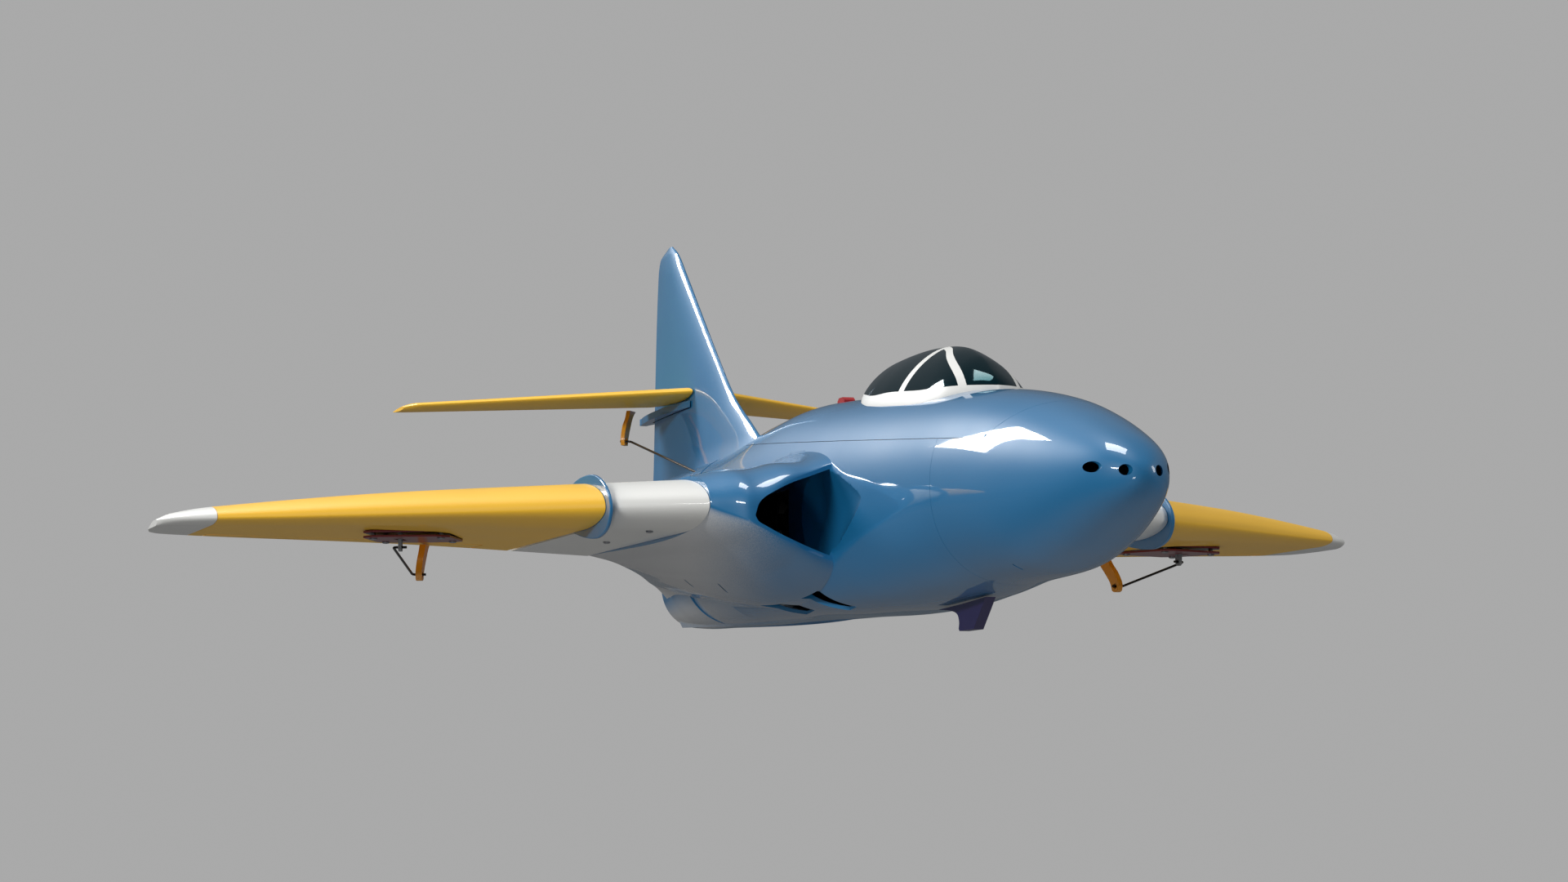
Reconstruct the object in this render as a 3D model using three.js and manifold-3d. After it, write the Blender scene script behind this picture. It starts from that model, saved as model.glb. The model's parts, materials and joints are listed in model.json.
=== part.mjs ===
// Swept-wing ducted-fan model jet, in millimetres.
// The airframe is drawn in its own datum: +X port, +Y aft, +Z up, Y = 0 at the wing tips' leading
// edge and Z = 0 in the wing plane. The exported group moves that datum so that the origin is the
// bottom centre of the whole aircraft. Left is port (+X) and right is starboard (-X).
import * as THREE from 'three';
import { mergeVertices } from 'three/addons/utils/BufferGeometryUtils.js';
import Module from 'manifold-3d';

const wasm = await Module();
wasm.setup();

// ---------------------------------------------------------------- driving dimensions
const NOSE_Y = -665;            // nose tip
const BOOM_END_Y = 301;         // rear end of the tail boom
const HOOK_FOOT_Z = -78;        // lowest point of the aircraft
const DATUM = [0, 138.5, 78];   // airframe datum to the bottom centre of the aircraft
const WALL = 2;                 // printed shell thickness of the fuselage
const SKIN = 1.4;               // wing skin thickness
const GAP = 0.3;                // clearance between parts that rest on each other
const AROUND = 28;              // points round a fuselage section
const UPPER_SQUARENESS = 2.2;   // of the upper half of a fuselage section: 2 is an ellipse

const NOSE_SEAM_Y = -472;       // nose shell to centre shell
const TAIL_SEAM_Y = 60;         // centre shell to tail shell

const WING = { root: 127, fence: 175, cap: 371, leadRoot: -303, leadSlope: 1.031 };
const FENCE_THICK = 2;
const AILERON = { inner: 198, outer: 362, x: 236, y: -7, z: -4, sweep: 24 };
const AILERON_HORN_Z = -29.1;   // hole of the aileron horn
const SERVO = { ahead: 17, behind: 6, width: 12, height: 22 };
const AILERON_ARM = { u: -1, v: -57, pivotZ: 1.5, holeZ: -15.5 };
const SERVO_PLATE = { u0: -36, u1: 18.5, v0: -82, v1: -29, chamfer: 7, thick: 1.4,
  trayZ: -7.7, coverZ: -10.8 };
const STAB = { root: 6.3, tip: 173, z: 111.4, leadRoot: 175, leadTip: 333, tailRoot: 297, tailTip: 387 };
const ELEVATOR = { inner: 9, outer: 164, x: 30, y: 270.4, z: 111.4, sweep: 34.3 };
const ELEVATOR_HORN_Z = 84;     // hole of the elevator horn
const ELEVATOR_ROD = { x: 25.5, bendY: 68, endX: 33 };
const ELEVATOR_ARM = { x: 28.5, y: 22, pivotZ: 32, holeZ: 43 };
const PUSHROD_R = 0.8;
const FAN = { y: -95, z: 2, bore: 32.4, length: 50 };
const SPAR = { y: -125, z: 0, r: 3, inner: 64, outer: 232 };
const HATCH = { rear: 8, front: -507, reach: 54, half: 46, z: 57, slope: 0.075 };
const CANOPY = { arch: -359.5, wall: 1.6, archHalf: 4.5, postHalf: 1.9 };
const DUCT = { front: -294, inner: 40 };   // each intake's duct behind its lip
const THROAT = { inner: 46, outer: 70, front: -235, rear: -150, low: -22, high: 12 };
const LINER = { inner: 51, outer: 80, front: -376, rear: -252, low: -45, high: 29 };
const PORTS = { y: -600, r: 2.9, at: [[20.8, -6], [9.1, -8.5]] };   // gun ports: [x, z]
const HOOK_THICK = 6;

// Fuselage stations: [y, top, bottom, half width, squareness of the lower half].
const BODY = [
  [-665, -10, -10, 0, 2.2], [-660, -1.5, -19, 10, 2.2], [-644, 9, -28, 21, 2.2],
  [-615, 20, -38.5, 30.5, 2.2], [-585, 29.5, -47.5, 37, 2.2], [-543, 40, -54.5, 44, 2.2],
  [-480, 50, -56.5, 50, 2.2], [-400, 57, -61, 55.5, 2.5], [-320, 63, -63, 59, 3.1],
  [-250, 67, -62.5, 60, 3.6], [-158, 71, -60, 58, 3.6], [-97, 68.5, -59, 56, 3.3],
  [13, 60.5, -57, 50, 2.8], [60, 58.8, -56, 46, 2.4], [100, 57.5, -55, 43, 2.2],
];
const NOZZLE = [[56, 40, -56, 46, 2.4], [100, 30, -55, 41, 2.3], [140, 19, -54, 34, 2.2],
  [176, 8, -52, 28, 2.2]];
const BOOM = [[56, 58.8, -50, 46, 2.2], [100, 57.5, -30, 42, 2.2], [176, 56.5, 5, 28, 2.2],
  [240, 57, 26, 17, 2.2], [301, 58, 40, 7, 2.2]];

// Wing-root glove stations: [x, lead y, trail y, mouth top, mouth bottom, trail z, crown, keel,
// sharpness of the crown's front].
const GLOVE = [
  [127, -303, -15, -3.5, -3.5, -15.6, 23, -10.5, 0.5], [107, -322, 8, -5.5, -14, -17.5, 29, -9, 0.5],
  [85, -319, 46, 9.5, -24.5, -20, 21, -13, 0.56], [68, -314, 81, 16.5, -31.5, -22, 20.5, -17.5, 0.66],
  [58, -312, 104, 20.5, -34.5, -23.5, 23, -20, 0.7], [51, -312, 121, 22, -36, -24.5, 28, -21, 0.7],
  [45, -312, 133, 22, -37, -25.5, 36, -21, 0.7], [28, -312, 158, 25, -38, -34, 40, -21, 0.7],
  [14, -312, 172, 28, -42, -52, 30, -14, 0.7],
];
// Air intake's mouth seen from ahead: [x, top, bottom] from the body side to the outboard corner.
const MOUTH = [[55, 18, -32], [68, 13.5, -28], [82, 8.8, -23.2], [92, 4.2, -19.2], [99, 0.4, -16],
  [103.4, -3.9, -13.8], [105.4, -9.8, -10.8]];
// The mouth's way in: [y, share of its height, inner x, bow of its inner side].
const SCOOP = [[-388, 0.1, 60, 6], [-368, 0.45, 57, 6], [-345, 0.8, 55, 6], [-322, 1, 53.8, 5],
  [-290, 1, 53, 4], [-255, 0.8, 62, 2]];

const finish = (color, roughness, metalness = 0) =>
  new THREE.MeshStandardMaterial({ color, roughness, metalness });
const BLUE = finish(0x4081b1, 0.15);
const YELLOW = finish(0xfece50, 0.25);
const WHITE = finish(0xebebe6, 0.25);
const CRIMSON = finish(0x6e1e2d, 0.4);
const AMBER = finish(0xbe8228, 0.35);
const NAVY = finish(0x282446, 0.4);
const GLASS = finish(0x16343c, 0.05);
const BLACK = finish(0x15161a, 0.5);
const GREY = finish(0x8c8f92, 0.5);
const STEEL = finish(0xa8abb0, 0.3, 1);
const CARBON = finish(0x241c18, 0.4);
const RED = finish(0xb02020, 0.4);
const GREEN = finish(0x1c5c38, 0.5);

const aircraft = new THREE.Group();
const SIDES = [['left', 1], ['right', -1]];
const sided = (side, x0, x1, ...rest) => box(...(side > 0 ? [x0, x1] : [-x1, -x0]), ...rest);

// ---------------------------------------------------------------- solids and booleans
function toSolid(geometry) {
  const bare = new THREE.BufferGeometry();
  bare.setAttribute('position', geometry.getAttribute('position').clone());
  if (geometry.index) bare.setIndex(geometry.index.clone());
  const merged = mergeVertices(bare, 1e-4);
  const points = merged.getAttribute('position').array;
  const corners = Array.from(merged.index.array);
  let volume = 0;
  const at = (i) => new THREE.Vector3().fromArray(points, 3 * i);
  for (let i = 0; i < corners.length; i += 3) {
    volume += at(corners[i]).dot(at(corners[i + 1]).cross(at(corners[i + 2])));
  }
  if (volume < 0) corners.reverse();
  const kept = [];
  for (let i = 0; i < corners.length; i += 3) {
    const [a, b, c] = corners.slice(i, i + 3);
    if (a !== b && b !== c && c !== a) kept.push(a, b, c);
  }
  return new wasm.Manifold(new wasm.Mesh({
    numProp: 3,
    vertProperties: new Float32Array(points),
    triVerts: new Uint32Array(kept),
  }));
}

function toGeometry(solid) {
  const mesh = solid.getMesh();
  const geometry = new THREE.BufferGeometry();
  geometry.setAttribute('position', new THREE.BufferAttribute(new Float32Array(mesh.vertProperties), 3));
  geometry.setIndex(Array.from(mesh.triVerts));
  geometry.computeVertexNormals();
  return geometry;
}

const join = (...solids) => solids.reduce((a, b) => a.add(b));
const cut = (solid, ...tools) => tools.reduce((a, b) => a.subtract(b), solid);
const common = (a, b) => a.intersect(b);

// The main body of a cut shell, without the slivers that the cut leaves at coarse facets.
const mainBody = (solid) => solid.decompose().sort((a, b) => b.volume() - a.volume())[0];

function add(name, solid, material) {
  const mesh = new THREE.Mesh(toGeometry(solid), material);
  mesh.name = name;
  aircraft.add(mesh);
  return mesh;
}

// A skin over rings of [x, y, z] points, closed at both ends round each end ring's middle.
function loft(rings) {
  const count = rings[0].length;
  const points = rings.flat();
  const faces = [];
  for (let r = 0; r + 1 < rings.length; r++) {
    for (let i = 0; i < count; i++) {
      const a = r * count + i;
      const b = r * count + ((i + 1) % count);
      faces.push(a, b, b + count, a, b + count, a + count);
    }
  }
  const ends = [[rings[0], 0, true], [rings[rings.length - 1], (rings.length - 1) * count, false]];
  for (const [ring, base, flip] of ends) {
    const middle = [0, 1, 2].map((k) => ring.reduce((sum, p) => sum + p[k], 0) / count);
    const hub = points.push(middle) - 1;
    for (let i = 0; i < count; i++) {
      const a = base + i;
      const b = base + ((i + 1) % count);
      faces.push(...(flip ? [hub, b, a] : [hub, a, b]));
    }
  }
  const geometry = new THREE.BufferGeometry();
  geometry.setAttribute('position', new THREE.Float32BufferAttribute(points.flat(), 3));
  geometry.setIndex(faces);
  return toSolid(geometry);
}

function box(x0, x1, y0, y1, z0, z1) {
  const geometry = new THREE.BoxGeometry(Math.abs(x1 - x0), Math.abs(y1 - y0), Math.abs(z1 - z0));
  geometry.translate((x0 + x1) / 2, (y0 + y1) / 2, (z0 + z1) / 2);
  return toSolid(geometry);
}

const vector = (p) => new THREE.Vector3(...p);

// A round bar between two points; a second radius makes it a cone.
function bar(from, to, radius, segments = 12, farRadius = radius) {
  const a = vector(from);
  const b = vector(to);
  const geometry = new THREE.CylinderGeometry(farRadius, radius, a.distanceTo(b), segments);
  const turn = new THREE.Quaternion().setFromUnitVectors(
    new THREE.Vector3(0, 1, 0), b.clone().sub(a).normalize());
  geometry.applyQuaternion(turn);
  geometry.translate(...a.add(b).multiplyScalar(0.5).toArray());
  return toSolid(geometry);
}

function ball(at, radius) {
  const geometry = new THREE.SphereGeometry(radius, 6, 5);
  geometry.translate(...at);
  return toSolid(geometry);
}

// A bent wire through points, rounded at its bends.
function wire(points, radius) {
  const pieces = [];
  for (let i = 0; i + 1 < points.length; i++) {
    pieces.push(bar(points[i], points[i + 1], radius, 6));
    if (i > 0) pieces.push(ball(points[i], radius * 1.02));
  }
  return join(...pieces);
}

// A prism: outline points (u, v) in the plane of two directions, drawn out along their normal.
function prism(outline, origin, uAxis, vAxis, length) {
  const shape = new THREE.Shape(outline.map(([u, v]) => new THREE.Vector2(u, v)));
  const geometry = new THREE.ExtrudeGeometry(shape, { depth: length, bevelEnabled: false });
  const u = vector(uAxis).normalize();
  const v = vector(vAxis).normalize();
  const matrix = new THREE.Matrix4().makeBasis(u, v, u.clone().cross(v)).setPosition(...origin);
  geometry.applyMatrix4(matrix);
  return toSolid(geometry);
}

// A plate seen from above, between two heights.
const plate = (outline, z0, z1) => prism(outline, [0, 0, z0], [1, 0, 0], [0, 1, 0], z1 - z0);

// A plate in the plane of symmetry, centred on x.
const sidePlate = (outline, x, thick) =>
  prism(outline, [x - thick / 2, 0, 0], [0, 1, 0], [0, 0, 1], thick);

const smooth = (points, count) =>
  new THREE.SplineCurve(points.map(([u, v]) => new THREE.Vector2(u, v)))
    .getPoints(count).map((p) => [p.x, p.y]);

// Value at s on a curve through stations [s, value], with no overshoot between them.
function through(stations, s) {
  const n = stations.length;
  if (s <= stations[0][0]) return stations[0][1];
  if (s >= stations[n - 1][0]) return stations[n - 1][1];
  let i = 0;
  while (s > stations[i + 1][0]) i++;
  const slope = (k) => (stations[k + 1][1] - stations[k][1]) / (stations[k + 1][0] - stations[k][0]);
  const tangent = (k) => {
    if (k === 0) return slope(0);
    if (k === n - 1) return slope(n - 2);
    const [before, after] = [slope(k - 1), slope(k)];
    return before * after <= 0 ? 0 : (2 * before * after) / (before + after);
  };
  const span = stations[i + 1][0] - stations[i][0];
  const t = (s - stations[i][0]) / span;
  const [p0, p1] = [stations[i][1], stations[i + 1][1]];
  return p0 * (1 + 2 * t) * (1 - t) ** 2 + p1 * t * t * (3 - 2 * t)
    + span * (tangent(i) * t * (1 - t) ** 2 - tangent(i + 1) * t * t * (1 - t));
}

// ---------------------------------------------------------------- fuselage
// Section of a fuselage table at y, as a rounded oval; inset shrinks it on every side.
function bodyRing(table, y, inset, root = NOSE_Y) {
  const reach = (value) => Math.sqrt(Math.max(value - root, 0));
  const column = (k) => through(table.map((row) => [reach(row[0]), row[k]]), reach(y));
  const [top, bottom, half] = [column(1) - inset, column(2) + inset, column(3) - inset];
  const middle = (top + bottom) / 2;
  const ring = [];
  for (let i = 0; i < AROUND; i++) {
    const angle = (2 * Math.PI * i) / AROUND;
    const [c, s] = [Math.cos(angle), Math.sin(angle)];
    const corner = 2 / (s < 0 ? column(4) : UPPER_SQUARENESS);
    const x = half * Math.sign(c) * Math.abs(c) ** corner;
    const z = middle + ((top - bottom) / 2) * Math.sign(s) * Math.abs(s) ** corner;
    ring.push([x, y, z]);
  }
  return ring;
}

function bodyLoft(table, from, to, steps, inset) {
  const rings = [];
  for (let i = 0; i <= steps; i++) {
    const share = from < NOSE_SEAM_Y ? (i / steps) ** 1.6 : i / steps;
    rings.push(bodyRing(table, from + (to - from) * share, inset));
  }
  return loft(rings);
}

// Wing-root glove between two distances from the centre line; side is +1 port, -1 starboard.
function glove(side, inset, innerX, outerX) {
  const stations = [...GLOVE].reverse();
  const shares = [0, 0.015, 0.06, 0.16, 0.35, 0.55, 0.75, 1];
  const bulge = (t, sharpness) => Math.sin(Math.PI * t ** sharpness);
  const rings = [];
  const steps = 8;
  for (let i = 0; i <= steps; i++) {
    const x = innerX + ((outerX - innerX) * i) / steps;
    const value = (k) => through(stations.map((row) => [row[0], row[k]]), x);
    const [lead, trail] = [value(1) + inset, value(2) - 12 * inset];
    const line = (k, t) => value(k) * (1 - t) + value(5) * t;
    const lower = shares.map((t) => [t, line(4, t) + value(7) * bulge(t, Math.min(value(8), 0.6)) + inset]);
    const rim = 0.35 + inset * 0.2;
    const upper = shares.map((t, j) =>
      [t, Math.max(line(3, t) + value(6) * bulge(t, value(8)) - inset, lower[j][1] + rim)]);
    rings.push([...upper, ...lower.reverse()].map(([t, z]) => [side * x, lead + (trail - lead) * t, z]));
  }
  return loft(rings);
}

// The air space of an intake: a shallow scoop in the body side that leads into the duct.
function mouthSpace(side) {
  const shares = [0, 0.2, 0.4, 0.6, 0.75, 0.87, 0.95, 1];
  const [body, tip] = [MOUTH[0][0], MOUTH[MOUTH.length - 1][0]];
  return loft(SCOOP.map(([y, height, inner, bow]) => {
    const at = (share, k) => {
      const z = through(MOUTH.map((row) => [row[0], row[k]]), body + (tip - body) * share);
      return [side * (inner + bow + (tip - inner - bow) * share), y, z * height];
    };
    const innerSide = [-0.75, -0.5, -0.25, 0, 0.25, 0.5, 0.75].map((v) =>
      [side * (inner + bow * v * v), y, ((1 + v) * MOUTH[0][1] + (1 - v) * MOUTH[0][2]) / 2 * height]);
    return [...shares.map((t) => at(t, 1)), ...shares.slice().reverse().map((t) => at(t, 2)), ...innerSide];
  }));
}

const hatchFloor = (y) => HATCH.z + HATCH.slope * (y + 10);

// The space of the lift-off hatch: a round-fronted plan above a gently sloping plane.
function hatchSpace(gap) {
  const half = HATCH.half + 30;
  const outline = [[-half, HATCH.rear - gap], [half, HATCH.rear - gap], [half, HATCH.front + 20]];
  const steps = 18;
  for (let i = 0; i <= steps; i++) {
    const angle = (Math.PI * i) / steps;
    outline.push([(HATCH.half - gap) * Math.cos(angle),
      HATCH.front - (HATCH.reach - gap) * Math.sin(angle)]);
  }
  outline.push([-half, HATCH.front + 20]);
  const above = prism([[-700, hatchFloor(-700) + gap], [100, hatchFloor(100) + gap], [100, 140], [-700, 140]],
    [-100, 0, 0], [0, 1, 0], [0, 0, 1], 200);
  return common(plate(outline, 0, 140), above);
}

// Belly vents' corners in plan: [x, y].
const VENTS = [
  [[48.7, -135], [50.2, -186], [35.6, -209], [27.9, -167], [41.2, -143]],
  [[51.4, -232], [51.5, -265], [33.5, -286], [30.5, -263], [44.4, -241.5]],
];
const BELLY_HATCH = { half: 40, front: -130, rear: -45 };

function fuselage() {
  const outerBody = (inset) => bodyLoft(BODY, NOSE_Y + 0.6, TAIL_SEAM_Y, 18, inset);
  const outer = join(outerBody(0), ...SIDES.map(([, side]) => glove(side, 0, 14, WING.root)));
  const liners = SIDES.map(([, side]) => sided(side, LINER.inner, LINER.outer,
    LINER.front, LINER.rear, LINER.low, LINER.high));
  const bay = cut(bodyLoft(BODY, NOSE_Y + 8, TAIL_SEAM_Y + 5, 12, WALL), ...liners);
  const behindLip = box(-130, 130, DUCT.front, TAIL_SEAM_Y + 10, -70, 70);
  const bodyCore = bodyLoft(BODY, DUCT.front - 20, TAIL_SEAM_Y + 5, 12, 0);
  const airways = SIDES.flatMap(([, side]) => [
    mouthSpace(side),
    cut(common(glove(side, WALL, DUCT.inner, WING.root - WALL), behindLip), bodyCore),
    sided(side, THROAT.inner, THROAT.outer, THROAT.front, THROAT.rear, THROAT.low, THROAT.high),
  ]);
  const shell = cut(outer, bay, ...airways);

  const noseHalf = box(-80, 80, -700, NOSE_SEAM_Y - GAP, -90, 90);
  const centreHalf = box(-200, 200, NOSE_SEAM_Y, TAIL_SEAM_Y - GAP, -90, 90);
  const opening = hatchSpace(0);
  const ports = SIDES.flatMap(([, side]) => PORTS.at.map(([x, z]) =>
    bar([side * x, PORTS.y, z], [side * x, NOSE_Y - 25, z], PORTS.r)));
  add('nose_cone', cut(common(shell, noseHalf), opening, ...ports), BLUE);

  const holes = [];
  for (const [, side] of SIDES) {
    for (const vent of VENTS) holes.push(plate(vent.map(([x, y]) => [side * x, y]), -90, -20));
    holes.push(bar([side * 50, SPAR.y, SPAR.z], [side * 140, SPAR.y, SPAR.z], SPAR.r + GAP));
    holes.push(elevatorRodHole(side));
  }
  const belly = (gap) => box(-BELLY_HATCH.half + gap, BELLY_HATCH.half - gap,
    BELLY_HATCH.front + gap, BELLY_HATCH.rear - gap, -90, -30);
  add('fuselage_centre', mainBody(cut(common(shell, centreHalf), opening, belly(0), ...holes)), BLUE);
  add('belly_hatch', common(shell, belly(GAP)), BLUE);

  const lid = cut(outerBody(0), outerBody(WALL));
  add('hatch_shell', cut(common(lid, hatchSpace(GAP)), canopySolid(0.3)), BLUE);
}

function tailSection() {
  const outer = (inset, extra = 0) => join(
    bodyLoft(NOZZLE, TAIL_SEAM_Y - extra, 176 + extra, 5, inset),
    bodyLoft(BOOM, TAIL_SEAM_Y - extra, BOOM_END_Y - inset * 2, 8, inset));
  const fillets = join(...SIDES.map(([, side]) => glove(side, 0, 14, WING.root)));
  const hollow = join(outer(WALL, 3), ...SIDES.map(([, side]) => glove(side, WALL, 30, 120)));
  const behind = box(-200, 200, TAIL_SEAM_Y, 400, -90, 90);
  const rods = SIDES.map(([, side]) => elevatorRodHole(side));
  const joined = common(join(outer(0), fillets), behind);
  add('tail_section', cut(joined, hollow, ...rods), BLUE);

  const fin = loft(finRings());
  add('vertical_fin', cut(fin, outer(-GAP), bodyLoft(BODY, -60, TAIL_SEAM_Y + 0.5, 6, -GAP)), BLUE);
}

// Fin sections from the spine up: leading edge, trailing edge and thickness at each height.
function finRings() {
  const rings = [];
  const lead = [[50, -8], [62, 20], [78, 51], [99, 91], [129, 131], [200, 219], [215, 238], [221.5, 252]];
  const trail = [[50, 301], [125, 297], [205, 289], [215, 284], [221.5, 262]];
  const thick = [[50, 26], [58, 19.5], [70, 14.5], [100, 11], [200, 7], [221.5, 2.5]];
  for (const z of [50, 54, 59, 66, 76, 88, 104, 125, 150, 175, 200, 213, 221.5]) {
    const [y0, y1, t] = [through(lead, z), through(trail, z), through(thick, z)];
    rings.push(symmetricSection(y1 - y0, t).map(([y, x]) => [x, y0 + y, z]));
  }
  return rings;
}

// Symmetric section: points (distance from the leading edge, half thickness), all round.
function symmetricSection(chord, thick) {
  const half = (t) => thick / 2 * (t < 0.3 ? Math.sqrt(1 - (1 - t / 0.3) ** 2)
    : 1 - 0.92 * ((t - 0.3) / 0.7) ** 1.7);
  const shares = [0, 0.015, 0.06, 0.15, 0.3, 0.5, 0.7, 0.85, 1];
  return [...shares.map((t) => [chord * t, half(t)]),
    ...shares.slice(1).reverse().map((t) => [chord * t, -half(t)])];
}

// ---------------------------------------------------------------- wing
const wingLead = (x) => x <= WING.cap
  ? WING.leadRoot + WING.leadSlope * (x - WING.root)
  : through([[371, -51.5], [390, -26], [398, -8], [400, 3]], x);
const wingTrail = (x) => through([[127, -13], [246, 27], [371, 68], [388, 71], [396, 62], [400, 40]], x);
const wingFlat = (x) => through([[127, -15.8], [246, -7.6], [371, -2], [400, -0.5]], x);
const wingLeadZ = (x) => through([[127, -3.5], [371, 1.3], [400, 2.5]], x);
const wingTop = (x) => through([[127, 16.5], [250, 15.6], [371, 10], [392, 7], [400, 3.6]], x);

// Flat-bottomed wing section at x: a quarter-ellipse nose running into a flat lower side.
function wingRing(side, x, inset = 0) {
  const [lead, trail] = [wingLead(x) + inset * 2, wingTrail(x) - inset * 9];
  const [flat, noseZ, crest] = [wingFlat(x) + inset, wingLeadZ(x), wingTop(x) - inset];
  const start = (noseZ - flat) / (crest - flat);
  const upper = (t) => t < 0.3
    ? start + (1 - start) * Math.sqrt(1 - (1 - t / 0.3) ** 2)
    : 1 - 0.97 * ((t - 0.3) / 0.7) ** 1.9;
  const lower = (t) => t < 0.2 ? 1 - Math.sqrt(1 - (1 - t / 0.2) ** 2) : 0;
  const shares = [0, 0.01, 0.04, 0.1, 0.18, 0.3, 0.45, 0.6, 0.75, 0.88, 1];
  return [...shares.map((t) => [t, flat + (crest - flat) * upper(t)]),
    ...shares.slice(1).reverse().map((t) => [t, flat + (noseZ - flat) * lower(t)])]
    .map(([t, z]) => [side * x, lead + (trail - lead) * t, z]);
}

const wingLoft = (side, xs, inset = 0) => loft(xs.map((x) => wingRing(side, x, inset)));

// ---------------------------------------------------------------- hinged surfaces
const sweepOf = (hinge) => THREE.MathUtils.degToRad(hinge.sweep);
const hingeAxis = (side, hinge) => [Math.cos(sweepOf(hinge)), side * Math.sin(sweepOf(hinge)), 0];
const hingeAft = (side, hinge) => [-side * Math.sin(sweepOf(hinge)), Math.cos(sweepOf(hinge)), 0];

// A point near a hinge: u along it outboard, v aft of it, and its height.
function hingePoint(side, hinge, u, v, z) {
  const [c, s] = [Math.cos(sweepOf(hinge)), Math.sin(sweepOf(hinge))];
  return [side * (hinge.x + u * c - v * s), hinge.y + u * s + v * c, z];
}

// A plate seen from above whose corners are given as hinge points.
const hingePlate = (side, hinge, outline, z0, z1) =>
  plate(outline.map(([u, v]) => hingePoint(side, hinge, u, v, 0).slice(0, 2)), z0, z1);

// A plate across the hinge: outline points (v, z), from u0 to u1.
function crossPlate(side, hinge, outline, u0, u1) {
  const start = hingePoint(side, hinge, side > 0 ? u0 : u1, 0, 0);
  return prism(outline, start, hingeAft(side, hinge), [0, 0, 1], u1 - u0);
}

// A bar along the hinge direction.
const crossBar = (side, hinge, u0, u1, v, z, radius) =>
  bar(hingePoint(side, hinge, u0, v, z), hingePoint(side, hinge, u1, v, z), radius);

// Everything aft of a hinge between its surface's two ends; the surface's nose is a shallow V.
function surfaceSpace(side, hinge, gap, nose = gap) {
  const [reach, bevel] = [22, 0.34];
  const back = nose + (gap > 0 ? reach * bevel : 0);
  const outline = [[nose, hinge.z], [back, hinge.z - reach], [110, hinge.z - reach],
    [110, hinge.z + reach], [back, hinge.z + reach]];
  const length = (hinge.outer - hinge.inner) / Math.cos(sweepOf(hinge));
  const far = crossPlate(side, hinge, outline, -length, length * 1.3);
  return common(far, sided(side, hinge.inner + gap, hinge.outer - gap, -150, 450, -60, 160));
}

// ---------------------------------------------------------------- wing panels and aileron drive
const WINDOW = [[-28.5, -76], [2.5, -76], [2.5, -48], [-28.5, -48]];

function plateOutline(grow = 0) {
  const { u0, u1, v0, v1, chamfer: c } = SERVO_PLATE;
  const [a, b, p, q] = [u0 - grow, u1 + grow, v0 - grow, v1 + grow];
  return [[a + c, p], [b - c, p], [b, p + c], [b, q - c], [b - c, q], [a + c, q], [a, q - c], [a, p + c]];
}

function wing(name, side) {
  const panel = wingLoft(side, [WING.root + GAP, WING.fence - FENCE_THICK / 2 - GAP]);
  add(`wing_root_panel_${name}`, cut(panel, wingLoft(side, [WING.root - 1, WING.fence + 1], SKIN)), WHITE);

  const spar = (r) => bar([side * SPAR.inner, SPAR.y, SPAR.z], [side * SPAR.outer, SPAR.y, SPAR.z], r);
  const crest = smooth([[-150, 14], [-185, 19.5], [-221, 19], [-248, 10.5], [-261, -2], [-254, -14],
    [-232, -19], [-200, -17], [-172, -12.5]], 28);
  const fence = sidePlate(crest, side * WING.fence, FENCE_THICK);
  add(`wing_fence_${name}`, cut(fence, spar(SPAR.r + GAP)), BLUE);
  add(`wing_spar_${name}`, spar(SPAR.r), CARBON);

  const outer = wingLoft(side, [WING.fence + FENCE_THICK / 2 + GAP, 250, 320, WING.cap - GAP]);
  const inside = wingLoft(side, [WING.fence - 1, 250, 320, WING.cap - 4], SKIN);
  const recessTop = SERVO_PLATE.trayZ + SERVO_PLATE.thick + GAP;
  const recess = hingePlate(side, AILERON, plateOutline(GAP), -30, recessTop);
  const window = hingePlate(side, AILERON, WINDOW, -30, 0);
  const hollow = cut(inside, surfaceSpace(side, AILERON, 0, -5));
  add(`wing_outer_${name}`, cut(outer, hollow, surfaceSpace(side, AILERON, 0, 0), recess, window), YELLOW);
  add(`aileron_${name}`, common(outer, surfaceSpace(side, AILERON, 0.7)), YELLOW);
  add(`wing_tip_${name}`, wingLoft(side, [WING.cap, 380, 388, 394, 398, 400]), WHITE);
}

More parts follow.
